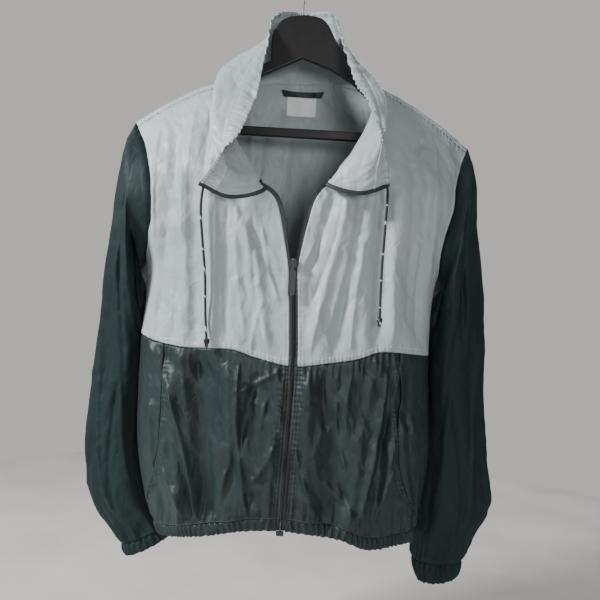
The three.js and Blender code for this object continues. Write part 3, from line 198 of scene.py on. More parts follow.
cord_look = cord_material()
for side, route in CORD_ROUTES.items():
    line = smooth_route(route + [KNOTS[side]], CORD_STEPS)
    cord = curve_piece(f"cord_{side}", line, CORD_DIAMETER / 2, cord_look)
    turn = np.linspace(0, 2 * math.pi, 60, endpoint=False)
    loop = np.stack([np.sin(turn) + 2 * np.sin(2 * turn), 0.9 * np.sin(3 * turn),
                     np.cos(turn) - 2 * np.cos(2 * turn)], axis=1)
    loop = loop * np.array(KNOT_SHAPE) * KNOT_SIZE + np.array(KNOTS[side])
    knot = curve_piece(f"knot_{side}", loop, CORD_DIAMETER * 0.42, cord_look, closed=True)
    for piece in (cord, knot):
        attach(piece, "jacket")
    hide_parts(f"drawcord_{side}")
    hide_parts(f"cord_knot_{side}")


# Shell cloth: nylon taffeta in two colours. Every panel lies on one body form, whose
# sections, shoulder ridge, armholes, seams and openings are the tables below.
CLOTH = 0.55
SEAM = 0.36
RIDGE_RADIUS = 9.0
SHOULDER_RISE = 150.0
SIDE_ROUNDNESS = 2.6
FORWARD_SHOULDER = 13.0
HEM_BAND = 17.5
ZIP_CHAIN = 4.2
ZIP_TAPE = 3.0
ZIP_HALF = ZIP_CHAIN / 2 + ZIP_TAPE + 2 * SEAM
SQUARE_METRE = 1e6
FORWARDS = np.array([0, -1.0, 0])
OPEN_TAPE = 5.2
SLIDER_Z = -446.0
UNDERARM_Z = -452.0
WAIST_Z = {"left": -554.0, "right": -567.0, "side": -556.0, "zip": -584.0}
HEM_Z = {"left": -826.0, "right": -814.0, "zip": -790.0, "band": -800.0}


def table(columns, *rows):
    values = np.array(rows, float)
    return {name: values[:, k] for k, name in enumerate(columns.split())}


BODY = table(
    "z left right front back middle",
    (-60, -262, 282, 74, 58, 0),
    (-250, -256, 274, 82, 58, 0),
    (-330, -248, 268, 94, 58, -1),
    (-400, -228, 240, 92, 58, -3),
    (-452, -206, 217, 88, 57, -5),
    (-560, -207, 210, 86, 56, -7),
    (-640, -207, 214, 84, 55, -8),
    (-710, -204, 218, 82, 54, -8),
    (-780, -191, 210, 77, 52, -8),
    (-812, -180, 205, 72, 50, -8),
    (-850, -163, 200, 68, 48, -8),
)
RIDGE = table(
    "x z",
    (-262, -268), (-235, -248), (-187, -216), (-144, -193), (-112, -181), (-60, -150), (4, -112),
    (62, -140), (112, -173), (148, -190), (202, -221), (252, -259), (282, -284),
)
ARMHOLES = {
    "left": table("z front back", (-248, -235, -235), (-285, -214, -222), (-326, -199, -213),
                  (-370, -193, -207), (-424, -198, -205), (-452, -206, -206)),
    "right": table("z front back", (-259, 252, 252), (-285, 240, 242), (-320, 231, 234),
                   (-360, 226, 228), (-415, 213, 220), (-452, 217, 217)),
}
WAIST = table(
    "x z",
    (-215, -554), (-166, -565), (-127, -568), (-64, -567), (-36, -575), (15, -584),
    (65, -577), (105, -569), (126, -561), (154, -559), (222, -567),
)
BACK_WAIST = table("x z", (-215, -554), (0, -562), (222, -567))
HEM = table(
    "x z",
    (-190, -846), (-167, -841), (-130, -832), (-92, -824), (-43, -812), (8, -808),
    (50, -811), (92, -817), (128, -831), (180, -829), (206, -832),
)
BACK_HEM = table("x z", (-190, -846), (-100, -838), (0, -834), (100, -836), (206, -832))
ZIP_LINE = table("z x", (-446, 7.5), (-510, 12), (-584, 15.5), (-700, 13), (-830, 10))
NECK = table(
    "at x w",
    (0, -46, -201), (0.09, -66, -153), (0.18, -88, -97), (0.27, -104, -49), (0.34, -113, -13),
    (0.355, -112.5, -5), (0.37, -110, 2), (0.41, -90, 12), (0.455, -48, 25), (0.5, 4, 48),
    (0.545, 54, 27), (0.59, 90, 13), (0.63, 111, 2), (0.645, 113, -5), (0.66, 113, -13),
    (0.73, 106, -50), (0.82, 94, -97), (0.91, 76, -149), (1, 56, -197),
)
SHOULDER_AT = {"left": 0.34, "right": 0.66}
BACK_STATIONS = [0.34, 0.355, 0.37, 0.4, 0.425, 0.45, 0.475, 0.5,
                 0.525, 0.55, 0.575, 0.6, 0.63, 0.645, 0.66]
OPENING = {
    "left": table("along x z", (0, -46, -342), (0.08, -41.6, -348),
                  (0.2, -31, -353), (0.36, -20.5, -363), (0.6, -12, -388),
                  (0.84, -4, -424), (1, 2, -452)),
    "right": table("along x z", (0, 56, -334), (0.08, 51.8, -340),
                   (0.2, 42, -346), (0.36, 32.5, -361), (0.6, 25, -390),
                   (0.84, 18.5, -424), (1, 13.8, -452)),
}
POCKETS = {
    "left": table("z x slit", (-566, -163, 0), (-600, -162.5, 0.15), (-660, -163, 0.2),
                  (-720, -167, 0), (-756, -172, 0), (-784, -184, 0)),
    "right": table("z x slit", (-559, 159.5, 0), (-588, 161, 0.3), (-606, 161.3, 6.5),
                   (-640, 161.5, 6.0), (-662, 162, 0.5), (-720, 169, 0), (-756, 181, 0),
                   (-784, 200, 0)),
}
FRONT_FOLDS = table(
    "x1 z1 x2 z2 width depth",
    (-134, -340, -118, -560, 13, 9), (-112, -330, -98, -556, 9, -7),
    (-75, -360, -8, -480, 8, 6), (-62, -380, -20, -556, 9, -5),
    (-165, -300, -172, -540, 12, 5), (54, -356, 30, -460, 6, 6),
    (74, -352, 40, -545, 8, -6), (96, -340, 70, -560, 9, 6),
    (128, -330, 124, -548, 10, 8), (152, -330, 148, -548, 12, -6),
    (186, -320, 182, -530, 10, 5), (-112, -580, -92, -800, 14, 12),
    (-72, -585, -60, -800, 12, -7), (-32, -600, -66, -770, 7, 6),
    (-150, -600, -128, -815, 9, -6), (-4, -600, -6, -790, 8, -5),
    (34, -600, 44, -795, 11, -7), (78, -640, 74, -800, 14, 10),
    (122, -590, 100, -800, 10, -7), (146, -590, 138, -800, 8, 7),
    (190, -600, 186, -800, 9, -4),
)
BACK_FOLDS = table(
    "x1 z1 x2 z2 width depth",
    (-150, -300, -140, -820, 16, -8), (-92, -260, -104, -820, 13, 7),
    (-30, -300, -44, -815, 15, -6), (34, -280, 26, -820, 14, 6),
    (92, -270, 84, -815, 15, -7), (152, -320, 146, -820, 14, 7),
)


def mix(a, b, t):
    return a + (b - a) * t


def smooth(t):
    return t * t * (3 - 2 * t)


def eased(t, low=0):
    return smooth(np.clip(t, low, 1))


def bell(t):
    return np.exp(-(t**2))


def pair(x, z):
    return np.stack(np.broadcast_arrays(x, z), axis=-1)


def triple(x, y, z):
    return np.stack(np.broadcast_arrays(x, y, z), axis=-1)


def unit(vectors):
    return vectors / np.maximum(np.linalg.norm(vectors, axis=-1, keepdims=True), 1e-9)


# Smooth value of one column of a table at places between its rows
def column(source, key, name, at):
    keys, values, at = source[key], source[name], np.asarray(at, float)
    if keys[-1] < keys[0]:
        keys, at = -keys, -at
    last = len(keys) - 2
    i = np.clip(np.searchsorted(keys, at, side="left") - 1, 0, last)
    slopes = np.diff(values) / np.diff(keys)
    span = keys[i + 1] - keys[i]
    t = np.clip((at - keys[i]) / span, 0, 1)
    first = (slopes[np.maximum(i - 1, 0)] + slopes[i]) / 2
    second = (slopes[np.minimum(i + 1, last)] + slopes[i]) / 2
    return (values[i] * (2 * t**3 - 3 * t**2 + 1) + values[i + 1] * (3 * t**2 - 2 * t**3)
            + span * (first * (t**3 - 2 * t**2 + t) + second * (t**3 - t**2)))


def ridge(x):
    return column(RIDGE, "x", "z", x)


def edge(side, z):
    return column(BODY, "z", side, z)


def zip_line(z):
    return column(ZIP_LINE, "z", "x", z)


def hem(x, face=-1):
    return np.where(face < 0, column(HEM, "x", "z", x), column(BACK_HEM, "x", "z", x))


def waist(x, face=-1):
    return np.where(face < 0, column(WAIST, "x", "z", x), column(BACK_WAIST, "x", "z", x))


def sideways(x, z):
    left, right = edge("left", z), edge("right", z)
    return np.abs(x - (left + right) / 2) / ((right - left) / 2)


def fold_sum(source, x, z):
    height = np.zeros(np.broadcast(x, z).shape)
    names = ("x1", "z1", "x2", "z2", "width", "depth")
    for x1, z1, x2, z2, width, depth in zip(*(source[k] for k in names)):
        t = (z - z1) / (z2 - z1)
        inside = np.clip(np.minimum(t, 1 - t) / 0.22 + 0.5, 0, 1)
        line = mix(x1, x2, np.clip(t, -0.2, 1.2))
        height = height + depth * smooth(inside) * bell((x - line) / width)
    return height


def edge_fade(x, z):
    side = np.clip((1 - sideways(x, z)) / 0.16, 0, 1)
    top = np.clip((ridge(x) - z) / 60, 0, 1)
    return smooth(side) * smooth(top)


def depth_squared(x, z, face):
    reach = np.where(face < 0, column(BODY, "z", "front", z), column(BODY, "z", "back", z))
    section = reach**2 * (1 - sideways(x, z) ** SIDE_ROUNDNESS)
    drop = ridge(x) - z
    r = RIDGE_RADIUS
    cap = np.where(drop < r, 2 * r * drop - drop * np.abs(drop), r * r)
    rise = SHOULDER_RISE * np.where(face < 0, 1.0, 0.55)
    grown = np.clip(drop / rise, 0, 1)
    return cap + (section - r * r) * (1 - (1 - grown) ** 2) ** 1.5


# Smooth random field over a plane, the same every run; wrap makes it meet itself
def noise(u, v, seed, wrap=64):
    grid = np.random.default_rng(seed).uniform(-1, 1, (64, 64))
    i, j = np.floor(u).astype(int), np.floor(v).astype(int)
    s, t = smooth(u - i), smooth(v - j)
    a, b = i % wrap, (i + 1) % wrap
    c, d = j % 64, (j + 1) % 64
    return mix(mix(grid[a, c], grid[b, c], s), mix(grid[a, d], grid[b, d], s), t)


# Creases that the photograph shows: ends, bow to one side, width, depth (plus is a ridge)
FRONT_CREASES = table(
    "x1 z1 x2 z2 bow width depth",
    (-190, -262, -177, -560, 4, 3.5, 2.6), (-167, -255, -152, -552, -5, 9, -3.2),
    (-140, -240, -128, -548, 6, 10, 3.6), (-116, -250, -116, -352, 3, 8, -4.2),
    (-100, -365, -94, -556, -2, 5, 3.0), (-84, -372, -76, -556, 2, 5, -3.2),
    (-70, -372, -50, -548, 6, 6, 3.0), (-50, -384, -24, -560, 5, 4, -2.6),
    (-36, -402, -8, -500, 3, 4, 2.6), (-186, -346, -182, -540, 2, 3, -1.8),
    (-150, -285, -143, -420, 3, 4, 2.0), (-30, -500, -42, -566, 2, 4, 1.8),
    (84, -350, 58, -530, -8, 7, 3.4), (70, -352, 36, -494, -6, 4, -2.8),
    (52, -362, 22, -446, -4, 4, 2.2), (116, -345, 121, -545, 2, 6, -3.6),
    (137, -330, 148, -545, 3, 8, 2.8), (179, -262, 172, -286, 2, 4, -2.6),
    (198, -275, 203, -535, 4, 9, 3.0), (161, -290, 168, -526, -3, 8, -2.4),
    (101, -412, 90, -556, 2, 4, 1.8), (49, -496, 38, -562, 2, 4, 2.0),
    (183, -395, 184, -545, 1, 3, -1.6), (28, -470, 66, -560, 4, 5, 1.8),
    (-106, -575, -60, -790, -9, 17, -4.5), (-84, -590, -84, -780, 10, 6, -2.2),
    (-56, -584, -36, -785, 7, 3.5, 4.2), (-60, -622, -24, -604, 2, 6, 3.4),
    (-24, -604, -2, -590, 0, 4, 2.4), (-156, -615, -106, -798, -6, 4.5, 4.4),
    (-146, -690, -112, -802, -4, 4, -3.6), (-158, -733, -122, -800, -3, 3.5, 3.0),
    (-4, -690, -31, -742, -3, 5, 3.4), (-189, -562, -158, -622, -5, 5, 2.8),
    (-179, -640, -168, -745, 3, 4, 2.4), (-130, -611, -116, -700, 3, 6, 1.8),
    (-67, -728, -70, -788, 2, 4, 2.2), (-15, -624, -22, -671, 2, 3, 1.8),
    (-34, -640, -26, -725, 3, 5, -2.4), (-136, -579, -128, -626, 2, 4, 1.8),
    (38, -592, 44, -640, 2, 9, 2.8), (57, -590, 64, -668, 2, 6, -3.2),
    (19, -615, 45, -758, 8, 2.6, 3.2), (117, -575, 89, -785, -8, 14, -4.4),
    (141, -586, 109, -806, -7, 4.5, 4.4), (158, -674, 132, -798, -3, 6, 3.0),
    (150, -640, 124, -760, -4, 4, -2.6), (163, -712, 136, -786, 2, 4, 2.0),
    (94, -592, 90, -678, 2, 5, 2.2), (31, -695, 42, -762, 2, 4, -2.2),
    (76, -625, 94, -720, 5, 4, 2.4), (66, -735, 96, -767, 3, 5, 2.6),
    (170, -647, 184, -752, 4, 5, 2.2), (176, -575, 192, -750, 5, 6, -2.2),
    (86, -735, 118, -786, 3, 5, -2.4), (5, -600, 2, -660, 2, 4, 1.6),
)
BACK_CREASES = table(
    "x1 z1 x2 z2 bow width depth",
    (-196, -300, -182, -552, 5, 6, 2.8), (-168, -262, -158, -545, -4, 8, -3.0),
    (-124, -240, -120, -552, 5, 7, 2.8), (-70, -225, -78, -550, -6, 9, -3.0),
    (-46, -215, -58, -380, 3, 4, 2.2), (-8, -230, -16, -552, 5, 7, 2.6),
    (18, -290, 8, -556, -3, 5, -2.2), (58, -225, 52, -556, 6, 8, 3.2),
    (78, -235, 70, -420, 2, 4, -2.4), (120, -255, 118, -556, -5, 8, -3.2),
    (150, -300, 162, -556, 4, 6, 2.6), (186, -310, 190, -556, 3, 7, -2.6),
    (-180, -580, -168, -800, 5, 6, -3.2), (-156, -575, -120, -800, -7, 5, 3.6),
    (-118, -575, -100, -795, 5, 9, -3.6), (-74, -570, -86, -800, -6, 5, 3.4),
    (-44, -640, -30, -800, 4, 6, -3.0), (-12, -572, -4, -795, 6, 7, 3.2),
    (26, -572, 46, -800, -5, 9, -3.6), (66, -580, 58, -800, 5, 4, 3.4),
    (98, -574, 118, -800, -6, 7, -3.2), (136, -578, 124, -800, 5, 5, 3.4),
    (166, -600, 176, -800, 4, 6, -2.8), (190, -590, 184, -760, 3, 5, 2.4),
)


def crease_sum(source, x, z):
    height = np.zeros(np.broadcast(x, z).shape)
    names = ("x1", "z1", "x2", "z2", "bow", "width", "depth")
    for x1, z1, x2, z2, bow, width, depth in zip(*(source[k] for k in names)):
        run, fall = x2 - x1, z2 - z1
        length = math.hypot(run, fall)
        t = ((x - x1) * run + (z - z1) * fall) / length**2
        apart = ((x - x1) * fall - (z - z1) * run) / length - 4 * bow * t * (1 - t)
        reach = width * (0.6 + 0.4 * np.sin(math.pi * np.clip(t, 0, 1)))
        ends = eased(np.minimum(t, 1 - t) / 0.2 + 0.35)
        height = height + depth * ends * np.exp(-np.abs(apart / reach) ** 1.6)
    return height


# Flat facets that meet in sharp edges, as crisp cloth and paper crease
def facets(u, v, seed, wrap=64):
    grid = np.random.default_rng(seed).uniform(-1, 1, (64, 64))
    i, j = np.floor(u).astype(int), np.floor(v).astype(int)
    s, t = u - i, v - j
    a, b = i % wrap, (i + 1) % wrap
    c, d = j % 64, (j + 1) % 64
    near = grid[a, c] + s * (grid[b, c] - grid[a, c]) + t * (grid[a, d] - grid[a, c])
    far = grid[b, d] + (1 - s) * (grid[a, d] - grid[b, d]) + (1 - t) * (grid[b, c] - grid[b, d])
    return np.where(s + t < 1, near, far)


# Crumples of thin nylon, long ones down the cloth and short ones that slant across them.
# On a tube 300 mm round a whole number of them goes round, so they meet themselves.
CRUMPLES_ROUND = (10, 7, 17, 37)
GIRTH = 300.0


def crumple(u, v, seed, tube=False):
    drifts, longs, middles, shorts = CRUMPLES_ROUND
    wrap = CRUMPLES_ROUND if tube else (64, 64, 64, 64)
    u = u / GIRTH
    drift = noise(u * drifts, v / 80, seed + 3, wrap[0])
    slant = noise(u * drifts, v / 60, seed + 4, wrap[0])
    long = facets((u + 0.04 * drift) * longs, (v + 26 * slant) / 110, seed, wrap[1])
    middle = facets((u + 0.035 * slant) * middles, (v + 26 * drift) / 33, seed + 1, wrap[2])
    short = facets((u + 0.02 * drift) * shorts, (v + 14 * slant) / 13, seed + 2, wrap[3])
    return 2.2 * long + 2.0 * middle * (1 + 0.5 * drift) + 1.1 * short * (1 - 0.6 * slant)


# Puckers that a line of stitches draws up beside it: for each seam the offset from it,
# reach, pitch, height and seed of one or two trains of them
PUCKERS = {
    "waist": ((-4, 5, 5.2, 0.75, 5), (9, 12, 9, 0.9, 15)),
    "hem": ((0, 24, 7.5, 1.5, 6), (0, 46, 17, 2.2, 7)),
    "shoulder": ((0, 9, 5.5, 1.0, 8),),
    "zip": ((-4, 7, 7, 1.0, 9),),
    "pocket": ((-5, 6, 5.5, 2.0, 10),),
    "collar top": ((-3, 9, 8, 2.2, 62), (-1, 5, 21, 1.6, 63)),
    "collar foot": ((0, 6, 6.5, 0.7, 64),),
}


def pucker(apart, along, reach, pitch, height, seed):
    phase = 2 * math.pi * along / pitch + 2.6 * noise(along / 17, apart * 0 + 3, seed)
    size = 0.65 + 0.35 * noise(along / 23, apart * 0 + 9, seed)
    return height * size * np.sin(phase) * bell(apart / reach)


def puckers(seam, apart, along):
    return sum(pucker(apart + offset, along, *train) for offset, *train in PUCKERS[seam])


def pocket_line(x, z):
    side = np.where(x < 0, -1, 1)
    left = column(POCKETS["left"], "z", "x", z)
    right = column(POCKETS["right"], "z", "x", z)
    return x - np.where(side < 0, left, right)


def cloth_detail(x, z, face):
    front = 1.15 * crease_sum(FRONT_CREASES, x, z) + crumple(x, z, 11)
    back = crease_sum(BACK_CREASES, x, z) + crumple(x, z, 31)
    height = np.where(face < 0, front, back)
    height = height * np.where(z < waist(x, face), 1.3, 1.0)
    by_zip = np.abs(x - zip_line(z))
    calm = np.where(face < 0, 1 - 0.85 * bell(by_zip / 9), 1.0)
    seam = z - waist(x, face)
    height = height * calm * edge_fade(x, z) * (1 - 0.6 * bell(seam / 7))
    height = height + puckers("waist", seam, x)
    height = height - 0.9 * bell(seam / 1.2) + 0.5 * bell((seam - 4) / 3)
    gather = np.clip(z - hem(x, face) - HEM_BAND, 0, None)
    drawn = eased(gather / 7, 0.1)
    height = height * eased(gather / 14, 0.15)
    height = height + drawn * puckers("hem", gather, x)
    shoulder = np.where(face < 0, ridge(x) - z - FORWARD_SHOULDER, 40.0)
    height = height + puckers("shoulder", shoulder, x) - 0.6 * bell(shoulder / 1.2)
    zipped = np.where((face < 0) & (z < SLIDER_Z), by_zip - ZIP_HALF, 60.0)
    height = height + puckers("zip", zipped, z)
    inwards = -np.sign(x) * pocket_line(x, z)
    pocket = np.where((face < 0) & (z < -556) & (z > -790), inwards, 60.0)
    return height + puckers("pocket", pocket, z) - 0.6 * bell(pocket / 1.1)


def body_point(x, z, face):
    middle = column(BODY, "z", "middle", z)
    depth = np.sqrt(np.maximum(depth_squared(x, z, face), (SEAM / 2) ** 2))
    folds = np.where(face < 0, fold_sum(FRONT_FOLDS, x, z), fold_sum(BACK_FOLDS, x, z))
    y = middle + face * depth - face * folds * edge_fade(x, z)
    return triple(x, y, z)


def body_normal(x, z, face):
    out = face * np.sqrt(np.maximum(depth_squared(x, z, face), 0))
    h = 0.5
    slope_x = depth_squared(x + h, z, face) - depth_squared(x - h, z, face)
    slope_z = depth_squared(x, z + h, face) - depth_squared(x, z - h, face)
    return unit(triple(-slope_x / (2 * h), 2 * out, -slope_z / (2 * h)))


# Outer face of the cloth anywhere on the body, with its creases
def surface(x, z, face, lift=0.0):
    x, z, face = np.broadcast_arrays(np.asarray(x, float), np.asarray(z, float), face)
    height = cloth_detail(x, z, face) + lift
    return body_point(x, z, face) + height[..., None] * body_normal(x, z, face)


# Closed wall between a grid of outer points and the same grid moved in
def wall(points, inner, looped):
    high, wide = points.shape[:2]
    place = np.arange(high * wide).reshape(high, wide)
    if looped:
        place = np.hstack([place, place[:, :1]])
    a, b = place[:-1, :-1].ravel(), place[:-1, 1:].ravel()
    c, d = place[1:, 1:].ravel(), place[1:, :-1].ravel()
    shift = high * wide
    outer = np.stack([a, b, c, d], axis=1)
    faces = [outer, outer[:, ::-1] + shift]
    rims = [(place[0, 1:], place[0, :-1]), (place[-1, :-1], place[-1, 1:])]
    if not looped:
        rims += [(place[:-1, 0], place[1:, 0]), (place[1:, -1], place[:-1, -1])]
    faces += [np.stack([p, q, q + shift, p + shift], axis=1) for p, q in rims]
    smooth_count = 2 * len(outer)
    return np.vstack([points.reshape(-1, 3), inner.reshape(-1, 3)]), np.vstack(faces), smooth_count


# Mesh of four-sided faces; they are turned round where they would enclose less than nothing
def mesh_piece(name, points, faces, material, smooth_count=None):
    p = points / 1000.0
    first, second, third, fourth = (p[faces[:, k]] for k in range(4))
    halves = np.cross(second, third) + np.cross(third, fourth)
    if np.einsum("ij,ij->i", first, halves).sum() < 0:
        faces = faces[:, ::-1]
    data = bpy.data.meshes.new(name)
    data.vertices.add(len(p))
    data.vertices.foreach_set("co", p.ravel())
    data.loops.add(faces.size)
    data.loops.foreach_set("vertex_index", faces.ravel().astype(np.int32))
    data.polygons.add(len(faces))
    data.polygons.foreach_set("loop_start", np.arange(0, faces.size, 4, dtype=np.int32))
    shaded = np.arange(len(faces)) < (len(faces) if smooth_count is None else smooth_count)
    data.polygons.foreach_set("use_smooth", shaded)
    data.update(calc_edges=True)
    data.validate()
    data.materials.append(material)
    made = new_object(name, data)
    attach(made, "jacket")
    return made


def grid_normals(points, looped, outwards):
    before = np.roll(points, 1, axis=1)
    after = np.roll(points, -1, axis=1)
    if not looped:
        before[:, 0], after[:, -1] = points[:, 0], points[:, -1]
    above = np.vstack([points[:1], points[:-1]])
    below = np.vstack([points[1:], points[-1:]])
    made = unit(np.cross(after - before, below - above))
    return made if (made * outwards).sum() > 0 else -made


def cloth_piece(name, node, points, outwards, material, looped=False, thick=CLOTH):
    normals = grid_normals(points, looped, outwards)
    corners, faces, smooth_count = wall(points, points - thick * normals, looped)
    made = mesh_piece(name, corners, faces, material, smooth_count)
    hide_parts(node)
    return made


# Area of a thin wall's outer face in square metres
def outer_area(points, looped=False):
    if looped:
        points = np.concatenate([points, points[:, :1]], axis=1)
    across = points[:, 1:] - points[:, :-1]
    down = points[1:] - points[:-1]
    total = np.linalg.norm(np.cross(across[:-1], down[:, :-1]), axis=-1).sum()
    return round(float(total) / SQUARE_METRE, 4)


# Grid of places between four edge curves; the side curves are eased onto the corners
def between(top, foot, left, right, wide, high):
    s = np.linspace(0, 1, wide)
    t = np.linspace(0, 1, high)
    upper, lower, start, end = top(s), foot(s), left(t), right(t)
    t = t[:, None]
    start = start + (1 - t) * (upper[0] - start[0]) + t * (lower[0] - start[-1])
    end = end + (1 - t) * (upper[-1] - end[0]) + t * (lower[-1] - end[-1])
    s, t = s[None, :, None], t[:, :, None]
    flat = mix(mix(upper[0], upper[-1], s), mix(lower[0], lower[-1], s), t)
    return mix(start[:, None], end[:, None], s) + mix(upper[None], lower[None], t) - flat


# Nylon taffeta: crisp, softly shining, with a fine weave and a web of small crumples
def nylon(name, dark, light, roughness, specular, sheen, crumples):
    made, tree, shader = new_material(name, light, roughness)
    shader.inputs["Sheen Weight"].default_value = sheen
    shader.inputs["Sheen Roughness"].default_value = 0.4
    shader.inputs["Specular IOR Level"].default_value = specular
    worn = tree_node(tree, "ShaderNodeTexNoise", Scale=9.0, Detail=5.0)
    tree.links.new(object_place(tree, (1, 1, 0.5)), worn.inputs["Vector"])
    shades = two_colours(tree, worn.outputs["Fac"], dark, light, 0.3, 0.7)
    tree.links.new(shades, shader.inputs["Base Color"])
    place = object_place(tree)
    drift = tree_node(tree, "ShaderNodeTexNoise", Scale=16.0, Detail=3.0)
    tree.links.new(place, drift.inputs["Vector"])
    pull = tree_node(tree, "ShaderNodeVectorMath", operation="MULTIPLY_ADD")
    tree.links.new(drift.outputs["Color"], pull.inputs[0])
    pull.inputs[1].default_value = (0.05, 0.05, 0.05)
    tree.links.new(object_place(tree, (1, 1, 0.5)), pull.inputs[2])
    web = tree_node(tree, "ShaderNodeTexVoronoi", Scale=34.0, feature="DISTANCE_TO_EDGE")
    small_web = tree_node(tree, "ShaderNodeTexVoronoi", Scale=95.0, feature="DISTANCE_TO_EDGE")
    for pattern in (web, small_web):
        tree.links.new(pull.outputs["Vector"], pattern.inputs["Vector"])
    weave = tree_node(tree, "ShaderNodeMath", operation="MAXIMUM")
    for slot, direction in enumerate(("X", "Z")):
        wave = tree_node(tree, "ShaderNodeTexWave", Scale=420.0, bands_direction=direction)
        tree.links.new(place, wave.inputs["Vector"])
        tree.links.new(wave.outputs["Fac"], weave.inputs[slot])
    small = bump(tree, small_web.outputs["Distance"], crumples, 0.0008)
    coarse = bump(tree, web.outputs["Distance"], crumples, 0.0036, small)
    tree.links.new(bump(tree, weave.outputs["Value"], 0.08, 0.0002, coarse), shader.inputs["Normal"])
    return made


PALE_SHADE = (0.31, 0.365, 0.372)
PALE_TONE = (0.385, 0.44, 0.447)
DARK_SHADE = (0.009, 0.019, 0.020)
DARK_TONE = (0.016, 0.030, 0.031)
pale_nylon = nylon("pale_nylon", PALE_SHADE, PALE_TONE, 0.46, 0.4, 0.05, 0.8)
dark_nylon = nylon("dark_nylon", DARK_SHADE, DARK_TONE, 0.5, 0.36, 0.02, 0.8)
worn_nylon = nylon("dark_nylon_worn", DARK_SHADE, DARK_TONE, 0.62, 0.16, 0.0, 0.8)


# Rows of stitches and of zip teeth: one small bead shape, set along a line at a pitch,
# turned to run along it. Stitches are lock stitches in polyester thread, pulled tight.
STITCH_PITCH = 0.0035
STITCH_SIZE = (0.00034, 0.00034, 0.0013)


def row_tree():
    tree = bpy.data.node_groups.new("row", "GeometryNodeTree")
    for name, kind in (("Geometry", "NodeSocketGeometry"), ("Pitch", "NodeSocketFloat"),
                       ("Size", "NodeSocketVector"), ("Material", "NodeSocketMaterial")):
        tree.interface.new_socket(name, in_out="INPUT", socket_type=kind)
    tree.interface.new_socket("Geometry", in_out="OUTPUT", socket_type="NodeSocketGeometry")

    def add(kind, **settings):
        return tree_node(tree, kind, **settings)

    source, result = add("NodeGroupInput"), add("NodeGroupOutput")
    line = add("GeometryNodeMeshToCurve")
    spaced = add("GeometryNodeResampleCurve", mode="LENGTH")
    tangent = add("GeometryNodeInputTangent")
    kept = add("GeometryNodeCaptureAttribute", domain="POINT")
    kept.capture_items.new("VECTOR", "Tangent")
    turned = add("FunctionNodeAlignRotationToVector", axis="Z")
    faced = add("FunctionNodeAlignRotationToVector", axis="Y", pivot_axis="Z", Vector=(0, -1, 0))
    bead = add("GeometryNodeMeshUVSphere", Segments=6, Rings=4, Radius=1.0)
    shaped = add("GeometryNodeTransform")
    placed = add("GeometryNodeInstanceOnPoints")
    real = add("GeometryNodeRealizeInstances")
    rounded = add("GeometryNodeSetShadeSmooth")
    dressed = add("GeometryNodeSetMaterial")
    for start, output, end, taken in (
        (source, "Geometry", line, "Mesh"), (line, "Curve", spaced, "Curve"),
        (source, "Pitch", spaced, "Length"), (spaced, "Curve", kept, "Geometry"),
        (tangent, "Tangent", kept, "Tangent"), (kept, "Tangent", turned, "Vector"),
        (turned, "Rotation", faced, "Rotation"), (bead, "Mesh", shaped, "Geometry"),
        (source, "Size", shaped, "Scale"), (kept, "Geometry", placed, "Points"),
        (shaped, "Geometry", placed, "Instance"), (faced, "Rotation", placed, "Rotation"),
        (placed, "Instances", real, "Geometry"), (real, "Geometry", rounded, "Geometry"),
        (rounded, "Geometry", dressed, "Geometry"), (source, "Material", dressed, "Material"),
        (dressed, "Geometry", result, "Geometry"),
    ):
        tree.links.new(start.outputs[output], end.inputs[taken])
    return tree


row = row_tree()


def row_piece(name, lines, pitch, size, material):
    points = np.vstack(lines) / 1000.0
    pairs = []
    start = 0
    for line in lines:
        pairs += [(start + k, start + k + 1) for k in range(len(line) - 1)]
        start += len(line)
    data = bpy.data.meshes.new(name)
    data.from_pydata(points.tolist(), pairs, [])
    source = new_object(name + "_line", data)
    modifier = source.modifiers.new("row", "NODES")
    modifier.node_group = row
    values = {"Pitch": pitch, "Size": size, "Material": material}
    for item in row.interface.items_tree:
        if item.in_out == "INPUT" and item.name in values:
            modifier[item.identifier] = values[item.name]
    bpy.context.view_layer.update()
    evaluated = source.evaluated_get(bpy.context.evaluated_depsgraph_get())
    made = new_object(name, bpy.data.meshes.new_from_object(evaluated))
    bpy.data.objects.remove(source)
    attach(made, "jacket")
    return made


pale_thread = speckled("pale_thread", (0.62, 0.68, 0.69), (0.74, 0.8, 0.81), 0.55, 900.0, 0.2)
dark_thread = speckled("dark_thread", (0.07, 0.09, 0.092), (0.1, 0.125, 0.127), 0.5, 900.0, 0.2)


# Upper fronts: pale panels from the forward shoulder seam to the waist seam, cut in
# one with the chest, set into the armhole outside and folded over the zip tape inside.
FRONT_STEPS = {"neck": 9, "open": 5, "closed": 4}
FRONT_WIDE = 144
FRONT_HIGH = 18 * 9 + 1


def tip(side):
    return ARMHOLES[side]["z"][0]


def armhole_x(side, z, face="front"):
    return column(ARMHOLES[side], "z", face, z)


def armhole_height(side, turn):
    return mix(tip(side), UNDERARM_Z, (1 - np.cos(np.radians(turn))) / 2)


def seam_height(side):
    z = tip(side) - FORWARD_SHOULDER
    for _ in range(20):
        z = ridge(armhole_x(side, z)) - FORWARD_SHOULDER
    return float(z)


def seam_turn(side):
    share = (tip(side) - seam_height(side)) / (tip(side) - UNDERARM_Z)
    return math.degrees(math.acos(1 - 2 * share))


def neck_place(at):
    return column(NECK, "at", "x", at), column(NECK, "at", "w", at)


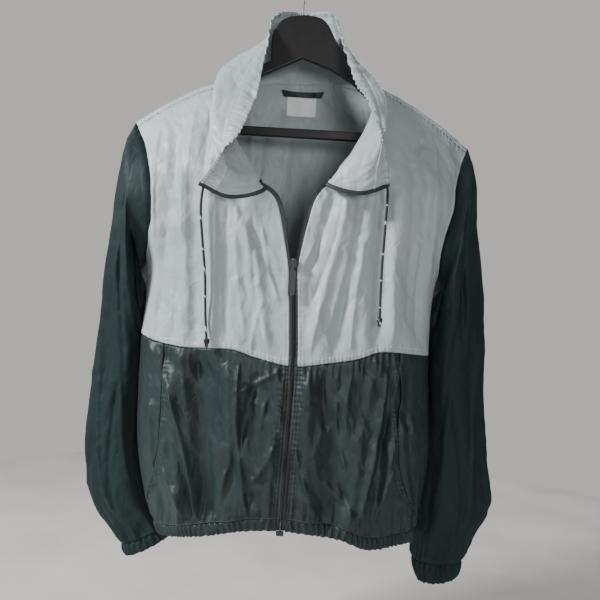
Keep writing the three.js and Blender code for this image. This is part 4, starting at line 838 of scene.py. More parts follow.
def front_inner_edge(side, t, foot_z):
    sign = SIGN[side]
    neck, opened, closed = (FRONT_STEPS[k] for k in ("neck", "open", "closed"))
    k = t * (neck + opened + closed)
    at = 0.34 * (1 - np.clip(k / neck, 0, 1))
    neck_x, neck_w = neck_place(at if side == "left" else 1 - at)
    along = np.clip((k - neck) / opened, 0, 1)
    open_x = column(OPENING[side], "along", "x", along)
    open_z = column(OPENING[side], "along", "z", along)
    z = mix(UNDERARM_Z, foot_z, np.clip((k - neck - opened) / closed, 0, 1))
    x = np.where(k <= neck, neck_x, np.where(k <= neck + opened, open_x, zip_line(z) + sign * ZIP_HALF))
    height = np.where(k <= neck, ridge(neck_x) + neck_w, np.where(k <= neck + opened, open_z, z))
    return pair(x, height)


def front_outer_edge(side, t, foot_z):
    arm_z = armhole_height(side, mix(seam_turn(side), 180, np.clip(t * 2, 0, 1)))
    arm_x = armhole_x(side, arm_z)
    z = mix(UNDERARM_Z, foot_z, np.clip(t * 2 - 1, 0, 1))
    return np.where((t <= 0.5)[:, None], pair(arm_x, arm_z), pair(edge(side, z), z))


def upper_front(side):
    sign = SIGN[side]
    neck_x = neck_place(SHOULDER_AT[side])[0]
    tip_x = armhole_x(side, seam_height(side))
    outer = edge(side, WAIST["z"][0 if side == "left" else -1])
    inner = zip_line(WAIST_Z["zip"]) + sign * ZIP_HALF

    def top(s):
        x = mix(tip_x, neck_x, s)
        return pair(x, ridge(x) - FORWARD_SHOULDER - SEAM / 2)

    def foot(s):
        x = mix(outer, inner, s)
        return pair(x, waist(x) + SEAM / 2)

    low = foot(np.array([0.0, 1.0]))
    grid = between(top, foot, lambda t: front_outer_edge(side, t, low[0, 1]),
                   lambda t: front_inner_edge(side, t, low[1, 1]), FRONT_WIDE, FRONT_HIGH)
    points = surface(grid[..., 0], grid[..., 1], -1)
    made = cloth_piece(f"cloth_front_upper_{side}", f"front_upper_{side}", points,
                       FORWARDS, pale_nylon)
    outer_area(points)
    return grid


front_grids = {side: upper_front(side) for side in SIDES}


# Upper back: one pale panel, carried over the shoulders to the forward seams, with the
# neck seam scooped out of its top and a straight seam at the waist.
BACK_ROWS = {"ridge": 2, "arm": 9, "below": 5}
BACK_WIDE = 24 * 6 + 1
BACK_HIGH = 16 * 7 + 1
SHOULDER_STEPS = 5
BACK_SEAM = -FORWARD_SHOULDER + SEAM / 2


def back_place(x, w):
    return x, ridge(x) - np.abs(w), np.where(w < 0, -1, 1)


# From one side edge of the body to the other, closer together towards both
def across_at(levels, s):
    spread = (1 - np.cos(math.pi * s)) / 2
    return mix(edge("left", levels["left"]), edge("right", levels["right"]), spread)


# Along the forward seams over both shoulders and round the neck between them
def back_top(s):
    neck_steps = len(BACK_STATIONS) - 1
    total = 2 * SHOULDER_STEPS + neck_steps
    tips = {side: armhole_x(side, seam_height(side)) for side in SIDES}
    necks = {side: neck_place(SHOULDER_AT[side])[0] for side in SIDES}
    k = s * total
    at = np.interp(k - SHOULDER_STEPS, np.arange(neck_steps + 1), BACK_STATIONS)
    neck_x, neck_w = neck_place(at)
    left = mix(tips["left"], necks["left"], k / SHOULDER_STEPS)
    right = mix(tips["right"], necks["right"], (total - k) / SHOULDER_STEPS)
    over_right = k >= total - SHOULDER_STEPS
    x = np.where(k <= SHOULDER_STEPS, left, np.where(over_right, right, neck_x))
    on_neck = (k > SHOULDER_STEPS) & ~over_right
    return pair(x, np.where(on_neck, neck_w, BACK_SEAM))


# From the forward seam over the shoulder's tip, down the armhole and down the side
def back_side(side, t):
    k = t * sum(BACK_ROWS.values())
    w = BACK_SEAM * (1 - np.clip(k / BACK_ROWS["ridge"], 0, 1)) ** 2
    over = mix(tip(side), seam_height(side), -w / FORWARD_SHOULDER)
    down = k - BACK_ROWS["ridge"]
    on_arm = down <= BACK_ROWS["arm"]
    arm_z = armhole_height(side, np.clip(down / BACK_ROWS["arm"], 0, 1) * 180)
    arm_x = armhole_x(side, arm_z, "back")
    below = np.clip((down - BACK_ROWS["arm"]) / BACK_ROWS["below"], 0, 1)
    z = mix(UNDERARM_Z, WAIST_Z[side] + SEAM / 2, below)
    x = np.where(down <= 0, armhole_x(side, over), np.where(on_arm, arm_x, edge(side, z)))
    height = np.where(on_arm, arm_z, z)
    return pair(x, np.where(down <= 0, w, ridge(x) - height))


def upper_back():
    def foot(s):
        x = across_at(WAIST_Z, s)
        return pair(x, ridge(x) - waist(x, 1) - SEAM / 2)

    grid = between(back_top, foot, lambda t: back_side("left", t),
                   lambda t: back_side("right", t), BACK_WIDE, BACK_HIGH)
    points = surface(*back_place(grid[..., 0], grid[..., 1]))
    made = cloth_piece("cloth_back_upper", "back_upper", points,
                       np.array([0, 1.0, 0.3]), pale_nylon)
    outer_area(points)


upper_back()


# Lower fronts: dark panels from the waist seam to the hem band, slit along the pocket
# seam, with a narrow side panel behind the seam and a pocket bag sewn inside.
POCKET_SHARE = 12 / 14
LOWER_WIDE = 130
LOWER_HIGH = 14 * 8 + 1
SIDE_WIDE = 26
SIDE_RISE = 0.2
BAG = {"top": -588.0, "foot": -716.0, "out": 8.0, "in": -66.0}
BAG_BEHIND = {"left": 1.8, "right": 2.9}
BAG_HIGH = 40
BAG_WIDE = 30


def pocket_x(side, z, away=0.0):
    return column(POCKETS[side], "z", "x", z) + SIGN[side] * away


def slit_half(side, z):
    return column(POCKETS[side], "z", "slit", z) / 2


def beside_zip_x(side, z):
    return zip_line(z) + SIGN[side] * ZIP_HALF


def panel_foot_z(side):
    return float(hem(edge(side, HEM_Z["left"])) + HEM_BAND)


# From the foot of the pocket seam, u = 0, out to the side edge above the hem band, u = 1
def below_pocket(side, u):
    end_z, low = POCKETS[side]["z"][-1], panel_foot_z(side)
    x = mix(pocket_x(side, end_z), edge(side, low), u**0.7)
    return pair(x, mix(end_z, low, u))


def lower_front(side):
    start_z, end_z = POCKETS[side]["z"][[0, -1]]
    low = panel_foot_z(side)

    def outer_edge(t):
        z = mix(start_z, end_z, np.clip(t / POCKET_SHARE, 0, 1))
        u = np.clip((t - POCKET_SHARE) / (1 - POCKET_SHARE), 0, 1)
        on_seam = pair(pocket_x(side, z, -SEAM / 2 - slit_half(side, z)), z)
        return np.where((t <= POCKET_SHARE)[:, None], on_seam, below_pocket(side, u))

    def top(s):
        x = mix(outer_edge(np.zeros(1))[0, 0], beside_zip_x(side, WAIST_Z["zip"]), s)
        return pair(x, waist(x) - SEAM / 2)

    def foot(s):
        inner = beside_zip_x(side, HEM_Z["zip"])
        x = mix(edge(side, low), inner, 1 - np.cos(s * math.pi / 2))
        return pair(x, hem(x) + HEM_BAND)

    def zip_side(t):
        z = mix(WAIST_Z["zip"], HEM_Z["zip"], t)
        return pair(beside_zip_x(side, z), z)

    grid = between(top, foot, outer_edge, zip_side, LOWER_WIDE, LOWER_HIGH)
    points = surface(grid[..., 0], grid[..., 1], -1)
    made = cloth_piece(f"cloth_front_lower_{side}", f"front_lower_{side}", points,
                       FORWARDS, dark_nylon)
    outer_area(points)


def side_panel(side):
    start_z, end_z = POCKETS[side]["z"][[0, -1]]

    def top(s):
        seam = pocket_x(side, start_z, SEAM / 2)
        x = mix(edge(side, WAIST_Z["side"]), seam, 1 - np.cos(s * math.pi / 2))
        return pair(x, waist(x) - SEAM / 2)

    def foot(s):
        return below_pocket(side, 1 - s) + np.array([0, SIDE_RISE])

    def side_edge(t):
        z = mix(WAIST_Z["side"], panel_foot_z(side) + SIDE_RISE, t)
        return pair(edge(side, z), z)

    def seam_edge(t):
        z = mix(start_z, end_z + SIDE_RISE, t)
        return pair(pocket_x(side, z, SEAM / 2 + slit_half(side, z)), z)

    grid = between(top, foot, side_edge, seam_edge, SIDE_WIDE, LOWER_HIGH)
    points = surface(grid[..., 0], grid[..., 1], -1)
    made = cloth_piece(f"cloth_front_side_{side}", f"front_side_{side}", points,
                       FORWARDS, dark_nylon)
    outer_area(points)


def pocket_bag(side):
    z = np.linspace(BAG["top"], BAG["foot"], BAG_HIGH)[:, None]
    x = pocket_x(side, z, np.linspace(BAG["out"], BAG["in"], BAG_WIDE)[None, :])
    points = surface(x, z, -1, -CLOTH - BAG_BEHIND[side])
    made = cloth_piece(f"cloth_pocket_bag_{side}", f"pocket_bag_{side}", points,
                       FORWARDS, dark_nylon)
    outer_area(points)


for side in SIDES:
    lower_front(side)
    side_panel(side)
    pocket_bag(side)


# Lower back: one dark panel across the whole back, sewn to the upper back along the
# waist seam, to the fronts down both sides and to the hem band at its foot.
LOWER_BACK_WIDE = 150
LOWER_BACK_HIGH = 84


def lower_back():
    def top(s):
        x = across_at(WAIST_Z, s)
        return pair(x, waist(x, 1) - SEAM / 2)

    def foot(s):
        x = across_at(HEM_Z, s)
        return pair(x, hem(x, 1) + HEM_BAND)

    def side_edge(side):
        def places(t):
            z = mix(WAIST_Z[side], HEM_Z[side], t)
            return pair(edge(side, z), z)
        return places

    edges = (side_edge(side) for side in SIDES)
    grid = between(top, foot, *edges, LOWER_BACK_WIDE, LOWER_BACK_HIGH)
    points = surface(grid[..., 0], grid[..., 1], 1)
    made = cloth_piece("cloth_back_lower", "back_lower", points, -FORWARDS, dark_nylon)
    outer_area(points)


lower_back()


# Sleeves: one dark panel each, sewn into the armhole and along a hidden underarm seam,
# full and long, falling straight down and drawn in at the cuff.
SLEEVES = {
    "left": table(
        "along ox oz ix iz half middle",
        (0, -235, -248, -206, -452, 50, -6), (0.04, -241, -268, -211, -458, 54, -5),
        (0.1, -246, -300, -212, -468, 57, -2), (0.2, -256, -356, -207, -488, 59, 3),
        (0.32, -267, -436, -203, -530, 58, 15), (0.46, -276, -540, -197, -592, 51, 28),
        (0.6, -284, -640, -200, -665, 49, 31), (0.74, -288, -735, -196, -742, 47, 33),
        (0.85, -280, -796, -186, -790, 43, 36), (0.95, -254, -848, -168, -829, 36, 38),
        (1, -230, -879, -160, -846, 29, 38),
    ),
    "right": table(
        "along ox oz ix iz half middle",
        (0, 252, -259, 217, -452, 50, -6), (0.04, 257, -280, 222, -458, 54, -5),
        (0.1, 263, -310, 222, -468, 57, -2), (0.2, 272, -362, 214, -488, 57, 9),
        (0.32, 286, -440, 210, -530, 54, 21), (0.46, 297, -540, 202, -592, 51, 28),
        (0.6, 303, -630, 208, -660, 49, 31), (0.74, 312, -715, 213, -730, 46, 31),
        (0.84, 320, -782, 208, -784, 42, 29), (0.95, 296, -838, 209, -836, 36, 23),
        (1, 282, -868, 210, -869, 29, 20),
    ),
}
CUFFS = {
    "left": table("along ox oz ix iz half middle", (0, -229.5, -879.3, -160.1, -846.6, 28.7, 38),
                  (0.5, -226, -889, -158, -855, 28, 38), (1, -220, -897, -156, -862, 27, 38)),
    "right": table("along ox oz ix iz half middle", (0, 281.7, -868.5, 210.3, -869.5, 28.7, 20),
                   (0.5, 280, -881, 213, -884, 28, 20), (1, 277, -892, 219, -902, 27, 20)),
}
SLEEVE_FOLDS = table(
    "turn from to lean width depth",
    (62, 0.06, 0.9, -18, 15, 6), (108, 0.12, 0.97, 12, 13, -5), (150, 0.15, 0.8, 0, 16, 6),
    (28, 0.3, 0.96, 14, 14, -4), (250, 0.1, 0.95, 12, 18, 6), (305, 0.15, 0.95, -10, 16, -5),
)
# Finer creases of the sleeves, slanting round the arm: plus is a ridge
SLEEVE_CREASES = table(
    "turn from to lean width depth",
    (40, 0.02, 0.34, 30, 7, 2.4), (78, 0.05, 0.5, -26, 5, 2.8), (95, 0.2, 0.62, 34, 5, -2.6),
    (125, 0.08, 0.42, -22, 6, 2.4), (52, 0.4, 0.8, 36, 5, 2.8), (86, 0.52, 0.98, -30, 5, -2.8),
    (112, 0.5, 0.86, 26, 6, 2.6), (138, 0.45, 0.97, -20, 6, -2.2), (68, 0.66, 0.99, 22, 5, 3.0),
    (18, 0.1, 0.6, -16, 7, -2.2), (12, 0.55, 0.98, 20, 6, 2.4), (34, 0.7, 0.99, -18, 5, -2.4),
    (165, 0.3, 0.7, 14, 7, 2.2), (200, 0.1, 0.6, 18, 7, -2.2), (228, 0.3, 0.92, -24, 6, 2.6),
    (262, 0.08, 0.55, 24, 6, 2.4), (284, 0.4, 0.95, -20, 6, -2.6), (322, 0.15, 0.6, 22, 6, 2.4),
    (338, 0.5, 0.98, -18, 6, 2.2), (212, 0.6, 0.99, 16, 6, 2.4), (300, 0.65, 0.99, 14, 5, 2.8),
)
# Folds beside the armhole, where the sleeve's fullness hangs from its seam
ARMHOLE_FOLDS = {
    "left": table(
        "turn from to lean width depth",
        (140, -0.12, 0.4, 26, 19, -19), (108, -0.08, 0.42, 36, 9, 6), (84, 0.0, 0.42, 14, 6, -3.5),
    ),
    "right": table(
        "turn from to lean width depth",
        (84, -0.12, 0.44, -6, 7, -8), (66, -0.1, 0.5, 6, 12, 4), (112, -0.1, 0.3, -6, 12, 5),
        (138, 0.1, 0.36, 24, 6, -5), (150, 0.24, 0.4, -20, 6, 5),
    ),
}
SLEEVE_ROUND = 160
SLEEVE_DOWN = 150
SLEEVE_START = 0.045
SLEEVE_LONG = 640.0


def turn_sum(source, turn, along, ends):
    depth = np.zeros(np.broadcast(turn, along).shape)
    names = ("turn", "from", "to", "lean", "width", "depth")
    for at, start, stop, lean, width, deep in zip(*(source[k] for k in names)):
        t = (along - start) / (stop - start)
        inside = np.clip(np.minimum(t, 1 - t) / 0.25 + ends, 0, 1)
        apart = turn - at - lean * (t - 0.5)
        apart = apart - 360 * np.round(apart / 360)
        depth = depth + deep * smooth(inside) * bell(apart / width)
    return depth


def ring(source, along, turn, cut):
    names = ("ox", "oz", "ix", "iz", "half", "middle")
    read = {name: column(source, "along", name, along) for name in names}
    angle = np.radians(turn)
    size = 1 - cut / np.maximum(read["half"], 20)
    x = (read["ox"] + read["ix"]) / 2 + (read["ox"] - read["ix"]) / 2 * np.cos(angle) * size
    z = (read["oz"] + read["iz"]) / 2 + (read["oz"] - read["iz"]) / 2 * np.cos(angle) * size
    return triple(x, read["middle"] - read["half"] * np.sin(angle) * size, z)


def armhole_ring(side, turn):
    back = turn > 180
    z = armhole_height(side, np.where(back, 360 - turn, turn))
    front_x = armhole_x(side, z)
    x = np.where(back, armhole_x(side, z, "back"), front_x)
    face = np.where(back, 1, -1)
    points = surface(x, z, face)
    along = np.roll(points, -1, axis=0) - np.roll(points, 1, axis=0)
    out = unit(np.cross(along, body_normal(x, z, face)))
    away = np.array([SIGN[side], 0, 0.7])
    out = np.where((out @ away)[:, None] < 0, -out, out)
    return points + SEAM * out


def sleeve(side):
    sign = SIGN[side]
    turn = np.linspace(0, 360, SLEEVE_ROUND, endpoint=False)
    along = SLEEVE_START + (1 - SLEEVE_START) * np.linspace(0, 1, SLEEVE_DOWN) ** 0.95
    turns, alongs = np.meshgrid(turn, along)
    folds = turn_sum(SLEEVE_FOLDS, turns, alongs, 0.4) * eased((1 - alongs) / 0.1, 0.25)
    fine = turn_sum(SLEEVE_CREASES, turns, alongs, 0.2)
    fine = fine + turn_sum(ARMHOLE_FOLDS[side], turns, alongs, 0.1)
    u, v = turns / 360 * GIRTH, alongs * SLEEVE_LONG
    fine = fine + 0.65 * crumple(u, v, 51 if side == "left" else 71, True)
    fine = fine * eased((alongs - SLEEVE_START) / 0.05)
    wrist = (1 - alongs) * SLEEVE_LONG
    gather = np.sin(np.radians(turns) * 22 + 2 * noise(turns / 24, wrist * 0 + 2, 81, 15))
    drawn = eased(wrist / 7, 0.1)
    fine = fine * eased(wrist / 12, 0.15) + 1.6 * drawn * gather * bell(wrist / 24)
    slow = np.sin(np.radians(turns) * 9 + 2 * noise(turns / 40, wrist * 0 + 5, 82, 9))
    fine = fine + 2.2 * drawn * slow * bell(wrist / 60)
    rows = ring(SLEEVES[side], alongs, turns, folds - fine)
    first = armhole_ring(side, turn)
    bridge = np.array([mix(first, rows[0], t) for t in (0, 0.33, 0.66)])
    points = np.concatenate([bridge, rows])
    centre = points.mean(axis=1, keepdims=True)
    made = cloth_piece(f"cloth_sleeve_{side}", f"sleeve_{side}", points,
                       points - centre, worn_nylon, looped=True)
    outer_area(points, looped=True)


for side in SIDES:
    sleeve(side)


# Cuffs: narrow tubes of the same dark cloth, folded round an elastic that draws them
# into pleats, and sewn to the sleeve's gathered end.
CUFF_PLEATS = 24


def cuff(side):
    turn = np.linspace(0, 360, CUFF_PLEATS * 8, endpoint=False)
    turns, alongs = np.meshgrid(turn, np.concatenate([[-0.2, -0.08], np.linspace(0, 1, 14)]))
    phase = np.radians(turns) * CUFF_PLEATS + 2.2 * noise(turns / 20, alongs * 1.5, 91, 18)
    size = 0.75 + 0.35 * noise(turns / 15, alongs * 0 + 1, 92, 24)
    pleat = 1.7 * size * np.sin(phase)
    roll = 1.6 * np.sqrt(np.clip(1 - (2 * alongs - 1) ** 2, 0, 1)) - 0.8
    tucked = np.clip(-alongs / 0.08, 0, 1)
    points = ring(CUFFS[side], alongs, turns, 1.6 * tucked - (pleat * (1 - 0.7 * tucked) + roll))
    points[..., 2] += 18 * np.clip(-alongs, 0, None)
    points[..., 2] += 0.8 * np.sin(phase * 0.5) * (alongs - 0.5)
    centre = points.mean(axis=(0, 1))
    made = cloth_piece(f"cloth_cuff_{side}", f"cuff_{side}", points,
                       points - centre, worn_nylon, looped=True)
    outer_area(points, looped=True)


for side in SIDES:
    cuff(side)


# Hem band: a folded strip of dark cloth round elastic, gathered all round the body
# from one side of the zip to the other.
HEM_PLEATS = 128
BAND_GAP = 0.9
HEM_MIDDLE = np.array([12, -8, -820.0])


def hem_band():
    t = np.linspace(0, 1, HEM_PLEATS * 8 + 1)
    band_z = HEM_Z["band"]
    start = zip_line(band_z) - ZIP_HALF + 0.5
    end = zip_line(band_z) + ZIP_HALF

    def turn_at(x):
        share = (x - edge("left", band_z)) / (edge("right", band_z) - edge("left", band_z))
        return math.acos(float(np.clip(2 * share - 1, -1, 1)))

    angle = mix(turn_at(start), turn_at(end) + 2 * math.pi, t)
    face = np.where(np.sin(angle) >= 0, -1, 1)
    rows = []
    for drop in (-0.16, -0.06, *np.linspace(0, 1, 12)):
        rise = (HEM_BAND - BAND_GAP) * (1 - drop)
        guess = mix(edge("left", band_z), edge("right", band_z), (1 + np.cos(angle)) / 2)
        z = hem(guess, face) + rise
        x = mix(edge("left", z), edge("right", z), (1 + np.cos(angle)) / 2)
        x = np.where(t < 0.5, np.minimum(x, start - t * 50), np.maximum(x, end + (1 - t) * 50))
        z = hem(x, face) + rise
        phase = 2 * math.pi * HEM_PLEATS * t + 3.0 * noise(t * 70, t * 0 + drop * 1.2, 95)
        size = 0.75 + 0.45 * noise(t * 100, t * 0 + 4, 96)
        ends = np.clip(np.minimum(t, 1 - t) / 0.006, 0.1, 1)
        tucked = min(max(-drop / 0.06, 0), 1)
        roll = 1.2 * math.sqrt(max(1 - (2 * drop - 1) ** 2, 0)) - 0.6
        height = 1.5 * size * np.sin(phase) * ends * (1 - 0.8 * tucked) + roll - 1.1 * tucked
        points = body_point(x, z, face) + height[:, None] * body_normal(x, z, face)
        points[:, 2] += 0.6 * np.sin(phase * 0.5) * (0.5 - drop)
        rows.append(points)
    points = np.array(rows)
    made = cloth_piece("cloth_hem_band", "hem_band", points,
                       points - HEM_MIDDLE, dark_nylon)
    outer_area(points)


hem_band()


# Collar: pale cloth, standing at the back and folded outwards at the front, with a
# channel for the cord sewn along its gathered top edge.
COLLAR = table(
    "at rx ry rz mx my mz ex ey ez",
    (0, -38, -96, -350, -80, -109, -363, -118, -120, -350),
    (0.08, -50, -92, -326, -72, -112, -338, -101, -127, -328),
    (0.15, -76, -88, -296, -92, -113, -312, -86, -130, -305),
    (0.22, -102, -76, -262, -110, -102, -278, -72, -117, -286),
    (0.28, -109, -61, -226, -110, -84, -236, -62, -97, -254),
    (0.34, -112, -26, -178, -99, -50, -178, -53, -70, -208),
    (0.385, -95, 4, -153, -60, -12, -126, -48, -32, -134),
    (0.44, -60, 34, -142, -47, 30, -94, -38, 16, -70),
    (0.5, 4, 58, -132, 3, 62, -90, 2, 54, -50),
    (0.56, 66, 34, -138, 54, 30, -92, 44, 16, -66),
    (0.615, 98, 4, -155, 70, -12, -126, 58, -30, -124),
    (0.66, 114, -24, -178, 108, -50, -182, 76, -66, -188),
    (0.72, 118, -56, -218, 121, -84, -232, 93, -92, -222),
    (0.78, 104, -84, -252, 120, -104, -264, 106, -108, -260),
    (0.85, 84, -102, -290, 106, -118, -298, 117, -116, -292),
    (0.92, 62, -107, -318, 94, -120, -328, 123, -114, -314),
    (1, 48, -107, -340, 88, -115, -350, 128, -107, -336),
)
COLLAR_GAP = 0.75
COLLAR_TUCK = 3.0
COLLAR_HOLE = np.array([4.0, -40.0, -140.0])
ROLL_Z = -240.0
COLLAR_WIDE = 300
COLLAR_HIGH = 64
COLLAR_LONG = 760.0
COLLAR_DEEP = 90.0
CHANNEL_AT = 0.8
CORD_AT = 0.91


def collar_point_rows():
    at = np.linspace(0, 1, COLLAR_WIDE)
    x, w = neck_place(at)
    place = back_place(x, w)
    seam = surface(*place)
    along = np.gradient(seam, axis=0)
    away = unit(np.cross(along, body_normal(*place)))
    away = np.where(((COLLAR_HOLE - seam) * away).sum(axis=1, keepdims=True) < 0, -away, away)
    root = seam + COLLAR_GAP * away
    levels = [root]
    for names in (("rx", "ry", "rz"), ("mx", "my", "mz"), ("ex", "ey", "ez")):
        levels.append(np.stack([column(COLLAR, "at", name, at) for name in names], axis=1))
    v = np.array([0, 0.2, 0.6, 1])
    points = np.zeros((COLLAR_HIGH, COLLAR_WIDE, 3))
    for i in range(COLLAR_WIDE):
        section = {"v": v}
        for k in range(3):
            section[str(k)] = np.array([level[i, k] for level in levels])
        for k in range(3):
            points[:, i, k] = column(section, "v", str(k), np.linspace(0, 1, COLLAR_HIGH))
    points[0] = seam - COLLAR_TUCK * away - 1.5 * body_normal(*place)
    points[1] = mix(points[0], points[2], 0.6)
    return at, points


def collar():
    at, points = collar_point_rows()
    out = points - COLLAR_HOLE
    out[..., 2] = 0
    normals = grid_normals(points, False, out * (points[..., 2:] > ROLL_Z))
    across = np.linspace(0, 1, COLLAR_WIDE)[None, :] * COLLAR_LONG
    up = np.linspace(0, 1, COLLAR_HIGH)[:, None]
    long = up * COLLAR_DEEP
    from_end = np.minimum(across, COLLAR_LONG - across)
    calm = eased(up / 0.12) * eased(from_end / 18)
    height = 0.8 * crumple(*np.broadcast_arrays(long, across), 61) * calm
    top_edge = (1 - up) * COLLAR_DEEP
    height = height + puckers("collar top", top_edge, across)
    channel = (up - CHANNEL_AT) * COLLAR_DEEP
    height = height - 0.7 * bell(channel / 1.4) + puckers("collar foot", long, across)
    height = height + 1.1 * bell((up - CORD_AT) * COLLAR_DEEP / 5)
    points = points + height[..., None] * normals
    made = cloth_piece("cloth_collar", "collar", points, normals, pale_nylon)
    outer_area(points)
    return points, normals


collar_points, collar_normals = collar()


# Zip: a coil zip on charcoal tape, closed below the chest. The tapes run on up the
# open edges and along the ends of the collar.
ZIP_FOOT_Z = -805.5
TAPE_FOOT_Z = -806.0
TAPE_THICK = 0.7
COLLAR_SEWN = 4
zip_cloth = speckled("zip_tape_cloth", (0.010, 0.016, 0.017), (0.018, 0.025, 0.026), 0.62, 700.0, 0.5)
zip_plastic = speckled("zip_plastic", (0.012, 0.017, 0.018), (0.02, 0.026, 0.027), 0.36, 300.0, 0.15)


def tape(side):
    sign = SIGN[side]
    source = OPENING[side]
    along = np.linspace(0, 1, 60)
    x, z = column(source, "along", "x", along), column(source, "along", "z", along)
    run = unit(pair(np.gradient(x), np.gradient(z)))
    out = np.stack([-run[:, 1], run[:, 0]], axis=1)
    out = np.where((out[:, :1] * -sign) < 0, -out, out)
    gap = SEAM * mix(1.8, 1, np.clip(along * 5, 0, 1))
    wide = mix(OPEN_TAPE, ZIP_TAPE, eased((along - 0.55) / 0.45))
    closed_z = mix(UNDERARM_Z, TAPE_FOOT_Z, np.linspace(0, 1, 160)[1:])
    closed_x = zip_line(closed_z) + sign * (ZIP_HALF - SEAM)
    rows = []
    for share in (-1.0, -0.3, 0.0, 0.2, 0.5, 0.8, 1.0, 1.6):
        reach = gap + wide * min(share, 1.0) - (2.0 if share < 0 else 0.0)
        opened = np.stack([x + out[:, 0] * reach, z + out[:, 1] * reach], axis=1)
        closed = np.stack([closed_x - sign * ZIP_TAPE * share, closed_z], axis=1)
        places = np.vstack([opened, closed])
        lift = -1.6 if share < 0 else 0.1 - 0.3 * share - (0.6 if share > 1 else 0.0)
        rows.append(surface(places[:, 0], places[:, 1], -1, lift))
    points = np.array(rows).transpose(1, 0, 2)
    cloth_piece(f"zip_tape_{side}_cloth", f"zip_tape_{side}", points,
                FORWARDS, zip_cloth, thick=TAPE_THICK)
    return points


def tape_on_collar(side):
    end = 0 if side == "left" else -1
    next_in = 4 if side == "left" else -5
    line = collar_points[:, end]
    along = unit(np.gradient(line, axis=0))
    away = line - collar_points[:, next_in]
    away = unit(away - (away * along).sum(axis=1, keepdims=True) * along)
    rows = [line + away * (SEAM + OPEN_TAPE * share) for share in np.linspace(0, 1, 5)]
    points = np.array(rows).transpose(1, 0, 2)[COLLAR_SEWN:]
    cloth_piece(f"zip_edge_{side}_cloth", f"zip_edge_{side}", points,
                collar_normals[COLLAR_SEWN:, end][:, None], zip_cloth, thick=TAPE_THICK)


tapes = {side: tape(side) for side in SIDES}
for side in SIDES:
    tape_on_collar(side)


# Teeth of the zip: one plastic coil sewn to each tape's edge. Below the slider the two
# coils are meshed into one chain, and above it each tape carries its own row.
TOOTH_PITCH = 0.0016
TOOTH_SIZE = {"closed": (0.0019, 0.001, 0.00052), "open": (0.0009, 0.001, 0.0005)}
chain_z = np.linspace(SLIDER_Z - 8, ZIP_FOOT_Z, 120)
chain_line = surface(zip_line(chain_z), chain_z, -1, 0.3)
chain = row_piece("zip_teeth_closed", [chain_line], TOOTH_PITCH, TOOTH_SIZE["closed"],
                  zip_plastic)
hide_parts("zip_chain")
for side in SIDES:
    free = tapes[side][:60, -2] + np.array([0, -0.4, 0])
    row_piece(f"zip_teeth_{side}", [free], TOOTH_PITCH, TOOTH_SIZE["open"], zip_plastic)


# Slider, bottom box and pull tab: moulded plastic. The slider's bridge and the hanger's
# hook are bent from steel wire. All of them keep the shapes they were drawn with.
steel = speckled("steel_wire", (0.42, 0.42, 0.42), (0.55, 0.55, 0.55), 0.3, 500.0, 0.05, 1.0)
HANGER_TONES = ((0.002, 0.002, 0.003), (0.005, 0.005, 0.006))
hanger_plastic = speckled("hanger_plastic", *HANGER_TONES, 0.42, 60.0, 0.1)
label_cloth = speckled("label_satin", (0.9, 0.92, 0.94), (0.97, 0.98, 0.99), 0.45, 500.0, 0.2)
for node, finish in (("slider", zip_plastic), ("zip_box", zip_plastic), ("pull_tab", zip_plastic),
                     ("slider_bridge", steel), ("hanger_hook", steel)):
    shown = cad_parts[node]
    shown.data.materials.clear()
    shown.data.materials.append(finish)


# Neck label and hanging loop: a bare woven label and a strip of dark cloth, both sewn
# into the neck seam and lying on the inside of the back.
LABEL = {"left": -18.0, "right": 27.0, "top": -180.5, "foot": -210.0}
LOOP = {"left": -28.0, "right": 39.0, "top": -171.5, "foot": -180.5}
LABEL_OFF = 1.3
LOOP_OFF = 2.6
PATCH_THICK = 0.4


def inside_patch(name, place, off, sag, taper, material, node):
    s, t = np.meshgrid(np.linspace(0, 1, 40), np.linspace(0, 1, 14))
    shift = taper * t * (1 - 2 * s)
    x = mix(place["left"], place["right"], s) + shift
    z = mix(place["top"], place["foot"], t) - sag * np.sin(math.pi * s) * (1 - t)
    points = surface(x, z, 1, -CLOTH - off)
    cloth_piece(name, node, points, FORWARDS, material, thick=PATCH_THICK)


inside_patch("label_bare", LABEL, LABEL_OFF, 0.0, 0.0, label_cloth, "neck_label")
inside_patch("loop_strip", LOOP, LOOP_OFF, 1.0, 4.0, dark_nylon, "hanging_loop")


# Hanger: one moulded plate of black plastic with rounded edges: a domed neck plate,
# two arms under the shoulders and a cross bar.
HANGER_THICK = 9.0
HANGER_ROUND = 1.8
ARM_DROP = 6.6
ARM_DEEP = 13.0
BAR_TOP = -246.5
HANGER_TIPS = {"left": -226.0, "right": 243.0}
WINDOW_INSET = {"left": 30.0, "right": 42.0}
WINDOW_STEP = 28.0
DOME_FOOT = 14.0
HANGER_DOME = [(-41, -148), (-42, -118), (-38, -101), (-26, -86.5), (-2, -80), (24, -82), (37, -92),
               (47, -110), (57, -125), (67, -138), (70, -152)]
HANGER_FOOT = [(247.5, -265), (245, -271), (236, -272), (212, -258), (198, -256), (0, -256), (-190, -256),
               (-208, -258), (-221, -263), (-229, -261), (-231, -255)]
WINDOW_NECK = [(-24, -152.5), (-10, -145.5), (3, -139), (18, -144), (46, -153.5)]


def arm_line(start, end, deep):
    x = np.linspace(start, end, 24)
    dip = 5 * bell((np.abs(x) - 110) / 20)
    return [tuple(p) for p in np.stack([x, ridge(x) - ARM_DROP - HANGER_ROUND - dip - deep], axis=1)]


def rounded_line(points, steps):
    flat = np.array([(x, z, 0.0) for x, z in points])
    return [tuple(p[:2]) for p in smooth_route(flat, steps)]


